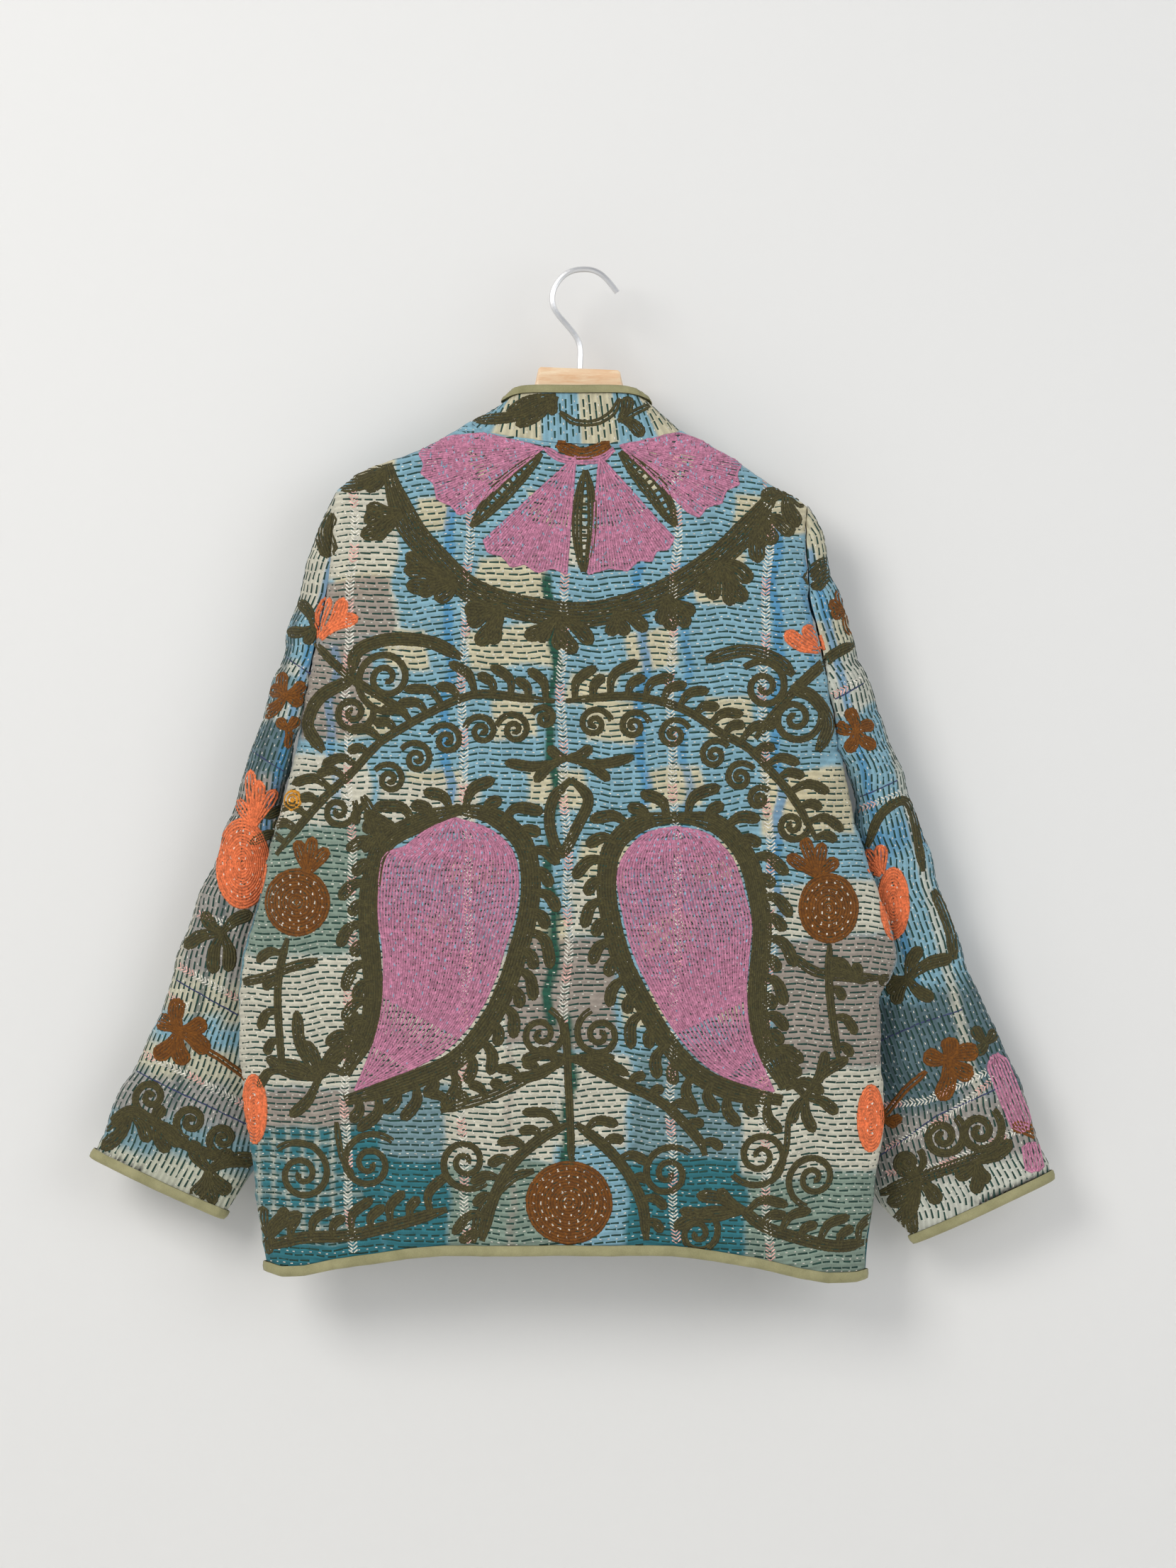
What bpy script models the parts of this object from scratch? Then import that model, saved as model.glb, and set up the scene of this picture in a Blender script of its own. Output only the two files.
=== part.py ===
"""A quilted open jacket on a wooden hanger, hung by the hanger's hook and seen from behind.

+Z is up, +X is to the right in a view of the jacket's back, and the back faces -Y.
The origin is the inside top of the hook, where the hanger hangs. Tables are in millimetres.
Every piece of cloth is a wall: an outer grid of points with the quilting raised on it, and a
plain inner grid a wall's thickness further in. Left and right are the wearer's.
"""

import math

import bpy
import numpy as np

MM = 0.001

# Driving sizes
WALL = 2.5
BINDING_EXTRA = 0.55
SEAM_EASE = 0.18
SLEEVE_EASE = 0.36
NECK_EASE = 0.55
BAND_BINDING_EASE = 1.0
BAND_EDGE = 7.0
HEM_EDGE = 9.0
CUFF_EDGE = 9.0
SEAM_GAP = 0.3

# The wall's way in where the pieces turn: at the side folds, under the arm, and over how many mm at the neck
SIDE_FOLD = 1.3
UNDERARM_WAY = (0.6, 0.8)
NECK_TURN = 12.0
FRONT_TURN = 20.0

# Quilting: two rows of points make one raised channel
ROW = 8.0
QUILT_RISE = 0.9

# Rows of points down the body: a yoke zone, level rows, and a zone that follows the hem
YOKE_LEVEL = -215.0
LEVEL_ROWS = 69
YOKE_STEPS = (0.0, 0.03, 0.08, 0.16, 0.28, 0.42, 0.60, 0.80, 1.0)
HEM_STEPS = 8
PLAIN_EVERY = 4
PLAIN_LEVELS = (18, 19, 20, 21, 22, 23, 24, 25, 26, 46, 50)
UNDERARM_ROW = {"left": 22, "right": 24}

# The cloth's bend over the hanger's arm, and how wide the armholes stand open
RIDGE_RADIUS = 11.0
ARMHOLE_HALF = 14.0
ARMHOLE_FADE = 0.2

# One row for each section down the body
SECTION_COLUMNS = ("z", "left", "right", "side", "back", "front")
SECTIONS = (
    (-215, -209.0, 191.0, 0, 28, 15),
    (-247, -211.5, 192.0, -1, 33, 20),
    (-279, -217.0, 194.0, -2, 36, 23),
    (-311, -224.0, 202.0, -3, 38, 24),
    (-343, -230.5, 208.0, -4, 40, 25),
    (-375, -236.5, 213.0, -5, 41, 27),
    (-407, -242.5, 219.0, -8, 42, 29),
    (-439, -249.0, 227.0, -12, 42, 32),
    (-471, -258.0, 233.0, -14, 43, 34),
    (-503, -266.5, 242.5, -15, 44, 35),
    (-535, -274.5, 253.5, -15, 44, 35),
    (-567, -284.5, 265.5, -15, 44, 35),
    (-583, -289.0, 269.0, -15, 44, 35),
    (-599, -290.5, 263.5, -15, 44, 35),
    (-615, -291.0, 252.0, -15, 43, 35),
    (-631, -290.0, 253.0, -15, 43, 35),
    (-663, -290.0, 252.5, -15, 43, 35),
    (-695, -286.0, 255.5, -15, 42, 34),
    (-727, -282.5, 255.5, -14, 41, 33),
    (-759, -278.5, 250.5, -14, 40, 32),
    (-791, -274.5, 248.5, -13, 38, 30),
    (-823, -269.0, 244.0, -12, 37, 29),
    (-855, -263.0, 240.5, -12, 36, 28),
)

# Shoulder seams from the armholes in to the neck, and the neck seam between them
SHOULDER_COLUMNS = ("x", "z")
LEFT_SHOULDER = ((-208, -187), (-186, -171.5), (-143, -152), (-94, -127.6))
RIGHT_SHOULDER = ((84.6, -135.4), (116, -151.6), (163, -179.2), (192, -199))
# Each row has x, y, z of the neck seam, then x, y, z of the band's free edge above it
BACK_COLLAR = (
    (-94.0, 0, -127.6, -60.0, 26, -110.0),
    (-91.0, -8, -131.0, -62.0, 9, -108.0),
    (-84.0, -13, -137.0, -60.0, -5, -105.0),
    (-52.0, -20, -143.0, -50.0, -14, -98.2),
    (-4.0, -24, -148.0, -7.0, -18, -98.0),
    (46.0, -20, -146.0, 36.0, -14, -98.2),
    (75.0, -13, -139.0, 50.0, -5, -104.0),
    (82.0, -8, -136.5, 54.0, 9, -108.5),
    (84.6, 0, -135.4, 53.0, 26, -111.0),
)

# The front neckline and the band's way across it, for each side of the opening
NECKLINE_COLUMNS = ("z", "seam_x", "across", "forward", "up")
NECKLINE = {
    "left": (
        (-127.6, -94.0, 34.0, 26.0, 17.6),
        (-150, -90.0, 40.0, 17.0, 16.0),
        (-187, -83.0, 44.0, 9.0, 14.0),
        (-215, -78.0, 46.0, 6.0, 12.0),
        (-279, -66.0, 48.5, 2.0, 8.0),
        (-343, -60.0, 50.0, 0.0, 1.0),
        (-407, -60.0, 50.0, 0.0, 0.0),
        (-855, -62.0, 50.0, 0.0, 0.0),
    ),
    "right": (
        (-135.4, 84.6, 31.6, 26.0, 24.4),
        (-155, 81.0, 38.0, 17.0, 19.0),
        (-187, 75.0, 44.0, 9.0, 14.0),
        (-215, 70.0, 46.0, 6.0, 12.0),
        (-279, 59.0, 48.5, 2.0, 8.0),
        (-343, 53.0, 50.0, 0.0, 1.0),
        (-407, 52.0, 50.0, 0.0, 0.0),
        (-855, 50.0, 50.0, 0.0, 0.0),
    ),
}

# How the front layer leaves the side fold: the share of its depth at a share of its width
FRONT_PROFILE = ((0, 0), (0.03, 0.16), (0.10, 0.22), (0.22, 0.32), (0.45, 0.75), (0.70, 0.95), (1, 1))
FRONT_SHARES = (0, 0.03, 0.10, 0.22, 0.45, 0.70, 1.0)
SIDE_SHARES = (0, 0.012, 0.045, 0.10, 0.18)

# The hem's lower edge across the back, and its height where the two fronts meet
HEM = (
    (-264, -849), (-251, -852), (-233, -851), (-205, -845), (-174, -840), (-145, -835),
    (-113, -832), (-68, -832.5), (41, -831.5), (76, -832.5), (111, -837), (146, -843),
    (182, -852), (208, -857), (233, -857.5), (240.5, -856),
)
FRONT_HEM = -839.0
HEM_LEVEL = -845.0

# The slanting seam that parts the back's two pieces: its ends at the underarms and its point
BACK_SEAM = ((-239.4, -390.4), (-8.4, -639.4), (217.2, -407.2))
CUTTER_REACH = 100.0

# The sleeves: the outer fold beside the armhole by height, then the rows below the underarm.
# A lower row has x, z, y of the outer fold, x, z, y of the inner fold, and half the sleeve's depth.
ARM_COLUMNS = ("z", "x", "y", "half")
ARM_EDGE = {
    "left": (
        (-187, -208, 0, 4),
        (-199, -216, 0, 8),
        (-228, -227, 3, 13),
        (-276, -241, 6, 16),
        (-324, -254, 8, 18),
        (-380, -272, 10, 20),
        (-412, -283, 12, 21),
    ),
    "right": (
        (-199, 192, 0, 4),
        (-211, 201, 0, 9.5),
        (-245, 210, 3, 13),
        (-296, 226, 6, 16),
        (-346, 243, 8, 18),
        (-401, 264, 10, 20),
        (-430, 274, 12, 21),
    ),
}
SLEEVES = {
    "left": (
        (-287, -425, 12, -247, -416, 1, 21),
        (-298, -460, 12, -253.5, -445, 10, 21),
        (-310, -494, 13, -250, -478, 22, 21),
        (-337, -560, 14, -250, -535, 28, 21),
        (-360, -634, 14, -256, -622, 32, 21),
        (-383, -680, 13, -262, -690, 32, 20),
        (-401, -715, 11, -271, -748, 26, 18),
        (-416, -756, 8, -308, -808, 16, 13),
    ),
    "right": (
        (276, -434, 12, 227.5, -428, 1, 21),
        (286, -462, 12, 233, -456, 10, 21),
        (296, -492, 13, 229, -488, 22, 21),
        (312, -542, 14, 227, -540, 28, 21),
        (339, -616, 14, 232, -616, 32, 21),
        (366, -671, 13, 236, -692, 32, 20),
        (388, -733, 11, 246, -776, 26, 18),
        (401, -775, 8, 286, -829, 16, 13),
    ),
}

# The body's rows that the sleeve's top follows and starts from, and its points round
CROWN_ROW = 5
ARM_ROWS = (8, 10, 12, 14, 16, 18, 20, 22, 24, 26, 28, 30)
ARM_ROUND = 37
PLAIN_ROUND = 2


# One row for each section along the hanger's bar
# Each row has x, the top's and the underside's height, and half the depth
BAR = (
    (-188, -179, -191, 5.0),
    (-183, -176, -195, 6.0),
    (-150, -159, -184, 6.5),
    (-118, -143.5, -174, 6.5),
    (-94, -132.8, -167, 6.5),
    (-60, -119, -160, 7.0),
    (-43, -109, -156, 7.0),
    (-40, -97.5, -155, 7.0),
    (-36.5, -82, -154, 7.0),
    (-34.5, -80.3, -154, 7.0),
    (31, -83, -157, 7.0),
    (33, -84.8, -157, 7.0),
    (36, -98, -158, 7.0),
    (39, -112, -160, 7.0),
    (60, -124, -165, 7.0),
    (84.6, -141, -173, 6.5),
    (116, -155.5, -182, 6.5),
    (150, -176, -197, 6.5),
    (171, -189, -205, 6.0),
    (175, -193, -203, 5.0),
)
BAR_SIDES = 12

# The hook's centre line, from its shank in the bar round to its free end
HOOK_WIRE = 5.0
HOOK = (
    (-1.2, -82.2), (-0.9, -66.4), (-3.6, -56.5), (-10.8, -46.6), (-19.2, -37.0), (-23.6, -29.5),
    (-24.8, -21.8), (-22.8, -13.4), (-17.2, -5.0), (-9.3, 0.6), (0.0, 2.5), (9.2, 1.9),
    (16.4, -1.4), (21.9, -6.3), (26.3, -11.6), (30.6, -17.2),
)
HOOK_STEPS = 3

COLOURS = {
    "back_upper": (0.42, 0.55, 0.56),
    "back_lower": (0.50, 0.54, 0.46),
    "front_left": (0.46, 0.55, 0.53),
    "front_right": (0.46, 0.55, 0.53),
    "sleeve_left": (0.36, 0.45, 0.48),
    "sleeve_right": (0.40, 0.50, 0.52),
    "collar_band": (0.45, 0.55, 0.54),
    "binding": (0.42, 0.45, 0.36),
    "hanger_bar": (0.78, 0.58, 0.36),
    "hanger_hook": (0.60, 0.60, 0.60),
}


def smooth(t):
    """A smooth step from 0 to 1."""
    t = np.clip(t, 0.0, 1.0)
    return t * t * (3 - 2 * t)


def column(table, columns, name):
    """One named column of a table."""
    return np.array([row[columns.index(name)] for row in table], dtype=float)


def read(table, columns, key, name, at):
    """The named column read at a value of the key column, straight between the rows."""
    keys = column(table, columns, key)
    values = column(table, columns, name)
    order = np.argsort(keys)
    return np.interp(at, keys[order], values[order])


def section(name, z):
    return read(SECTIONS, SECTION_COLUMNS, "z", name, z)


def unit(vectors):
    length = np.linalg.norm(vectors, axis=-1, keepdims=True)
    return vectors / np.maximum(length, 1e-9)


# The top edge of the back: shoulder, neck and shoulder
TOP_EDGE = (
    [(x, 0.0, z) for x, z in LEFT_SHOULDER[:-1]]
    + [row[:3] for row in BACK_COLLAR]
    + [(x, 0.0, z) for x, z in RIGHT_SHOULDER[1:]]
)
TOP_COLUMNS = ("x", "y", "z")
TIP = {"left": LEFT_SHOULDER[0], "right": RIGHT_SHOULDER[-1]}
BODY_LEVELS = [YOKE_LEVEL - ROW * k for k in range(LEVEL_ROWS + 1)]
UNDERARM = {side: YOKE_LEVEL - ROW * k for side, k in UNDERARM_ROW.items()}
ROWS = len(YOKE_STEPS) + LEVEL_ROWS + HEM_STEPS
PLAIN_ROWS = sorted(
    set(range(len(YOKE_STEPS)))
    | set(range(len(YOKE_STEPS) - 1, len(YOKE_STEPS) + LEVEL_ROWS, PLAIN_EVERY))
    | {len(YOKE_STEPS) - 1 + level for level in PLAIN_LEVELS}
    | {ROWS - HEM_STEPS // 2, ROWS - 1}
)


def armhole(side, z):
    """Half the armhole's width at a height, an ellipse from the shoulder tip to the underarm."""
    top = TIP[side][1]
    share = np.clip((top - z) / (top - UNDERARM[side]), 0.0, 1.0)
    return ARMHOLE_HALF * 2 * np.sqrt(share * (1 - share))


def row_heights(top, bottom):
    """The heights of a column of points between its top and bottom edge."""
    yoke = [top + (YOKE_LEVEL - top) * step for step in YOKE_STEPS]
    last = BODY_LEVELS[-1]
    hem = [last + (bottom - last) * (k + 1) / HEM_STEPS for k in range(HEM_STEPS)]
    return np.array(yoke + BODY_LEVELS[1:] + hem)


def yoke_depth(edge, below, drop, share):
    """The depth below the top edge: round over the hanger's arm, then easing to the yoke level's depth."""
    reach = np.clip(drop / RIDGE_RADIUS, 0.0, 1.0)
    ridge = RIDGE_RADIUS * np.sqrt(1 - (1 - reach) ** 2)
    start = np.maximum(edge, ridge)
    settled = np.maximum(edge, RIDGE_RADIUS)
    return start + (below - settled) * smooth(share)


def hem_cut(x):
    """The height at which the panels end, above the binding."""
    return np.interp(x, *np.array(HEM).T) + HEM_EDGE


def back_depth(u, z):
    """How far the back stands out behind the origin's plane at a share of its width."""
    near = armhole("left" if u < 0.5 else "right", z) * (1 - smooth(min(u, 1 - u) / ARMHOLE_FADE))
    return near + section("back", z) * np.sqrt(np.clip(1 - (2 * u - 1) ** 2, 0, 1)) - section("side", z)


def side_line(side, z):
    """Where the body's side stands at a height, drawn straight up to the shoulder tip above the yoke level."""
    tip_x, tip_z = TIP[side]
    level_x = section(side, YOKE_LEVEL)
    return np.where(z > YOKE_LEVEL, np.interp(z, (YOKE_LEVEL, tip_z), (level_x, tip_x)), section(side, z))


def back_points(shares):
    """The back's plain outer grid: a row for each height, a column for each share of its width."""
    grid = np.zeros((ROWS, len(shares), 3))
    top_x = column(TOP_EDGE, TOP_COLUMNS, "x")
    for c, u in enumerate(shares):
        edge_x = top_x[0] + (top_x[-1] - top_x[0]) * u
        top = read(TOP_EDGE, TOP_COLUMNS, "x", "z", edge_x)
        edge = -read(TOP_EDGE, TOP_COLUMNS, "x", "y", edge_x)
        hem_x = section("left", HEM_LEVEL) + (section("right", HEM_LEVEL) - section("left", HEM_LEVEL)) * u
        z = row_heights(top, hem_cut(hem_x))
        left, right = side_line("left", z), side_line("right", z)
        yoke = np.clip((top - z) / (top - YOKE_LEVEL), 0, 1)
        level_x = left + (right - left) * u
        x = np.where(z > YOKE_LEVEL, edge_x + (level_x - edge_x) * yoke, level_x)
        depth = np.where(
            z > YOKE_LEVEL,
            yoke_depth(edge, back_depth(u, YOKE_LEVEL), top - z, yoke),
            back_depth(u, z),
        )
        grid[:, c] = np.stack([x, -depth, z], axis=-1)
    return grid


def front_depth(side, v, z):
    """How far a front stands forward of the origin's plane at a share of its width from the side."""
    profile = np.interp(v, *np.array(FRONT_PROFILE).T)
    near = armhole(side, z) * (1 - smooth(v / (2 * ARMHOLE_FADE)))
    return section("side", z) + near + section("front", z) * profile


def front_points(side):
    """A front's plain outer grid, with its columns from the side in to the band."""
    table = NECKLINE[side]
    shoulder = LEFT_SHOULDER if side == "left" else RIGHT_SHOULDER
    tip_x = TIP[side][0]
    neck_x = table[0][1]
    grid = np.zeros((ROWS, len(FRONT_SHARES), 3))
    for c, v in enumerate(FRONT_SHARES):
        edge_x = tip_x + (neck_x - tip_x) * v
        top = read(shoulder, SHOULDER_COLUMNS, "x", "z", edge_x)
        side_hem = hem_cut(section(side, HEM_LEVEL))
        z = row_heights(top, side_hem + (FRONT_HEM + HEM_EDGE - side_hem) * smooth(v))
        yoke = np.clip((top - z) / (top - YOKE_LEVEL), 0, 1)
        outer = section(side, z)
        inner = read(table, NECKLINE_COLUMNS, "z", "seam_x", z)
        level_x = section(side, YOKE_LEVEL) + (read(table, NECKLINE_COLUMNS, "z", "seam_x", YOKE_LEVEL)
                                               - section(side, YOKE_LEVEL)) * v
        x = np.where(z > YOKE_LEVEL, edge_x + (level_x - edge_x) * yoke, outer + (inner - outer) * v)
        depth = np.where(
            z > YOKE_LEVEL,
            yoke_depth(0.0, front_depth(side, v, YOKE_LEVEL), top - z, yoke),
            front_depth(side, v, z),
        )
        grid[:, c] = np.stack([x, depth, z], axis=-1)
    return grid


def inward(grid, towards):
    """Unit normals of a grid of points, turned to the side that holds a point."""
    normals = unit(np.cross(np.gradient(grid, axis=0), np.gradient(grid, axis=1)))
    middle = tuple(n // 2 for n in grid.shape[:2])
    if np.dot(normals[middle], np.asarray(towards) - grid[middle]) < 0:
        normals = -normals
    return normals


def side_edge_offsets(side, face, z):
    """The wall's way in along a panel's side: across the armhole, in at the underarm, then into the body."""
    sign = 1.0 if side == "left" else -1.0
    drop = TIP[side][1] - z
    bend = math.pi / 2 * np.clip(drop / RIDGE_RADIUS, 0, 1)
    offsets = np.stack([np.zeros_like(z), face * np.sin(bend), -np.cos(bend)], axis=-1)
    under = z <= UNDERARM[side] + 0.1
    offsets[under] = (SIDE_FOLD * sign, 0.0, 0.0)
    offsets[np.argmax(under)] = (UNDERARM_WAY[0] * sign, 0.0, UNDERARM_WAY[1])
    return offsets


def neck_offsets(points):
    """The wall's way in along the neck seam, turning from down at the shoulder to forward at the back."""
    turn = smooth(-points[:, 1] / NECK_TURN) * math.pi / 2
    return np.stack([np.zeros(len(points)), np.sin(turn), -np.cos(turn)], axis=-1)


def ease_edges(grid, edges):
    """Draws the named edges of a grid in by the seam's ease, along the cloth."""
    out = grid.copy()
    if "top" in edges:
        out[0] += SEAM_EASE * unit(grid[1] - grid[0])
    if "bottom" in edges:
        out[-1] += SEAM_EASE * unit(grid[-2] - grid[-1])
    if "start" in edges:
        out[:, 0] += SEAM_EASE * unit(grid[:, 1] - grid[:, 0])
    if "end" in edges:
        out[:, -1] += SEAM_EASE * unit(grid[:, -2] - grid[:, -1])
    return out


def quilted(grid, normals, closed_rows=False):
    """Raises every other row of a grid outwards, leaving its edges plain."""
    out = grid.copy()
    lift = QUILT_RISE * (np.arange(len(grid)) % 2)
    if not closed_rows:
        lift[[0, -1]] = 0.0
    rise = np.repeat(lift[:, None], grid.shape[1], axis=1)
    rise[:, [0, -1]] = 0.0
    return out - normals * rise[..., None]


def material(name, colour, roughness=0.85, metallic=0.0):
    found = bpy.data.materials.new(name)
    found.use_nodes = True
    shader = found.node_tree.nodes["Principled BSDF"]
    shader.inputs["Base Color"].default_value = (*colour, 1.0)
    shader.inputs["Roughness"].default_value = roughness
    shader.inputs["Metallic"].default_value = metallic
    return found


def solid(name, points, faces, surface):
    """A closed mesh object from points in millimetres, with its faces turned outwards."""
    triangles = []
    for face in faces:
        for k in range(1, len(face) - 1):
            triangles.append((face[0], face[k], face[k + 1]))
    points = np.asarray(points, dtype=float) * MM
    corners = points[np.array(triangles)]
    volume = np.einsum("ij,ij->i", corners[:, 0], np.cross(corners[:, 1], corners[:, 2])).sum()
    if volume < 0:
        triangles = [tuple(reversed(t)) for t in triangles]
    mesh = bpy.data.meshes.new(name)
    mesh.from_pydata([tuple(p) for p in points], [], triangles)
    mesh.validate()
    mesh.update()
    mesh.shade_smooth()
    mesh.set_sharp_from_angle(angle=math.radians(40))
    mesh.materials.append(surface)
    made = bpy.data.objects.new(name, mesh)
    bpy.context.scene.collection.objects.link(made)
    return made


def ladder(fine, plain, kept, flip):
    """Faces between a fine line of points and a plainer one, whose points stand beside the kept fine ones."""
    faces = []
    for k in range(len(plain) - 1):
        first, last = kept[k], kept[k + 1]
        half = (first + last + 1) // 2
        for f in range(first, half):
            faces.append((fine[f], fine[f + 1], plain[k]))
        faces.append((plain[k], fine[half], plain[k + 1]))
        for f in range(half, last):
            faces.append((fine[f], fine[f + 1], plain[k + 1]))
    if flip:
        faces = [tuple(reversed(face)) for face in faces]
    return faces


def sheet_wall(name, outer, inner, kept, surface):
    """A wall between an outer grid and an inner grid that has only the kept rows."""
    rows, columns = outer.shape[:2]
    plain_rows = inner.shape[0]
    start = rows * columns
    out = np.arange(start).reshape(rows, columns)
    into = start + np.arange(plain_rows * columns).reshape(plain_rows, columns)
    faces = []
    for r in range(rows - 1):
        for c in range(columns - 1):
            faces.append((out[r, c], out[r + 1, c], out[r + 1, c + 1], out[r, c + 1]))
    for r in range(plain_rows - 1):
        for c in range(columns - 1):
            faces.append((into[r, c], into[r, c + 1], into[r + 1, c + 1], into[r + 1, c]))
    for c in range(columns - 1):
        faces.append((out[0, c], out[0, c + 1], into[0, c + 1], into[0, c]))
        faces.append((out[-1, c + 1], out[-1, c], into[-1, c], into[-1, c + 1]))
    faces += ladder(out[:, 0], into[:, 0], kept, True)
    faces += ladder(out[:, -1], into[:, -1], kept, False)
    points = np.concatenate([outer.reshape(-1, 3), inner.reshape(-1, 3)])
    return solid(name, points, faces, surface)


def strip(name, outer_a, inner_a, inner_b, outer_b, surface, closed=False):
    """A binding: a bar of four-sided section between two edges of a wall."""
    count = len(outer_a)
    points = np.concatenate([outer_a, inner_a, inner_b, outer_b])
    corner = np.arange(4 * count).reshape(4, count)
    faces = []
    for k in range(count if closed else count - 1):
        n = (k + 1) % count
        for side in range(4):
            other = (side + 1) % 4
            faces.append((corner[side, k], corner[side, n], corner[other, n], corner[other, k]))
    if not closed:
        faces.append(tuple(corner[:, 0]))
        faces.append(tuple(reversed(corner[:, -1])))
    return solid(name, points, faces, surface)


def back_shares():
    """Columns across the back: close at the side folds, and one at each bend of the neck seam."""
    width = TIP["right"][0] - TIP["left"][0]
    neck = [(row[0] - TIP["left"][0]) / width for row in BACK_COLLAR]
    return sorted(set(list(SIDE_SHARES) + neck + [1 - s for s in SIDE_SHARES]))


def build_back(surfaces):
    """The back as one wall, cut along the slanting seam into its two pieces."""
    shares = back_shares()
    grid = back_points(shares)
    normals = inward(grid, (0, 200, -500))
    offsets = normals.copy()
    for index, side in ((0, "left"), (-1, "right")):
        offsets[:, index] = side_edge_offsets(side, 1.0, grid[:, index, 2])
    offsets[0] = neck_offsets(grid[0])
    inner = (grid + offsets * WALL)[PLAIN_ROWS]
    edges = ("top", "bottom", "start", "end")
    outer = ease_edges(quilted(grid, normals), edges)
    inner = ease_edges(inner, edges)
    pieces = []
    for name, keep in (("back_upper", "INTERSECT"), ("back_lower", "DIFFERENCE")):
        piece = sheet_wall(name, outer, inner, PLAIN_ROWS, surfaces[name])
        lift = SEAM_GAP / 2 * math.sqrt(2) * (1 if keep == "INTERSECT" else -1)
        cut = piece.modifiers.new("back seam", "BOOLEAN")
        cut.operation = keep
        cut.solver = "EXACT"
        cut.object = seam_cutter(f"{name}_cutter", lift)
        pieces.append(piece)
    return grid, offsets, pieces


def seam_cutter(name, lift):
    """A wedge above the slanting seam, wide enough to take the whole upper back."""
    (x0, z0), (x1, z1), (x2, z2) = BACK_SEAM
    left_slope = (z0 - z1) / (x0 - x1)
    right_slope = (z2 - z1) / (x2 - x1)
    outline = [
        (x0 - CUTTER_REACH, z0 - CUTTER_REACH * left_slope + lift),
        (x1, z1 + lift),
        (x2 + CUTTER_REACH, z2 + CUTTER_REACH * right_slope + lift),
        (x2 + CUTTER_REACH, CUTTER_REACH),
        (x0 - CUTTER_REACH, CUTTER_REACH),
    ]
    points = [(x, y, z) for y in (-CUTTER_REACH, CUTTER_REACH) for x, z in outline]
    count = len(outline)
    faces = [tuple(range(count)), tuple(reversed(range(count, 2 * count)))]
    for k in range(count):
        n = (k + 1) % count
        faces.append((k, k + count, n + count, n))
    cutter = solid(name, points, faces, None)
    cutter.hide_render = True
    cutter.display_type = "WIRE"
    return cutter


def build_front(side, surfaces):
    """One front, from the shoulder to the hem, and its plain grid and offsets for the pieces beside it."""
    grid = front_points(side)
    normals = inward(grid, (0, -200, -500))
    offsets = normals.copy()
    offsets[:, 0] = side_edge_offsets(side, -1.0, grid[:, 0, 2])
    offsets[0] = (0, 0, -1)
    turn = smooth((grid[0, -1, 2] - grid[:, -1, 2]) / FRONT_TURN) * math.pi / 2
    offsets[:, -1] = np.stack([np.zeros(ROWS), -np.sin(turn), -np.cos(turn)], axis=-1)
    inner = (grid + offsets * WALL)[PLAIN_ROWS]
    edges = ("top", "bottom", "start", "end")
    sheet_wall(
        f"front_{side}",
        ease_edges(quilted(grid, normals), edges),
        ease_edges(inner, edges),
        PLAIN_ROWS,
        surfaces[f"front_{side}"],
    )
    return grid, offsets


def band_line(side, grid):
    """The way across the band for each point of a front's seam."""
    z = grid[:, -1, 2]
    sign = 1.0 if side == "left" else -1.0
    table = NECKLINE[side]
    across = sign * read(table, NECKLINE_COLUMNS, "z", "across", z)
    forward = read(table, NECKLINE_COLUMNS, "z", "forward", z)
    up = read(table, NECKLINE_COLUMNS, "z", "up", z)
    return np.stack([across, forward, up], axis=-1)


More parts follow.
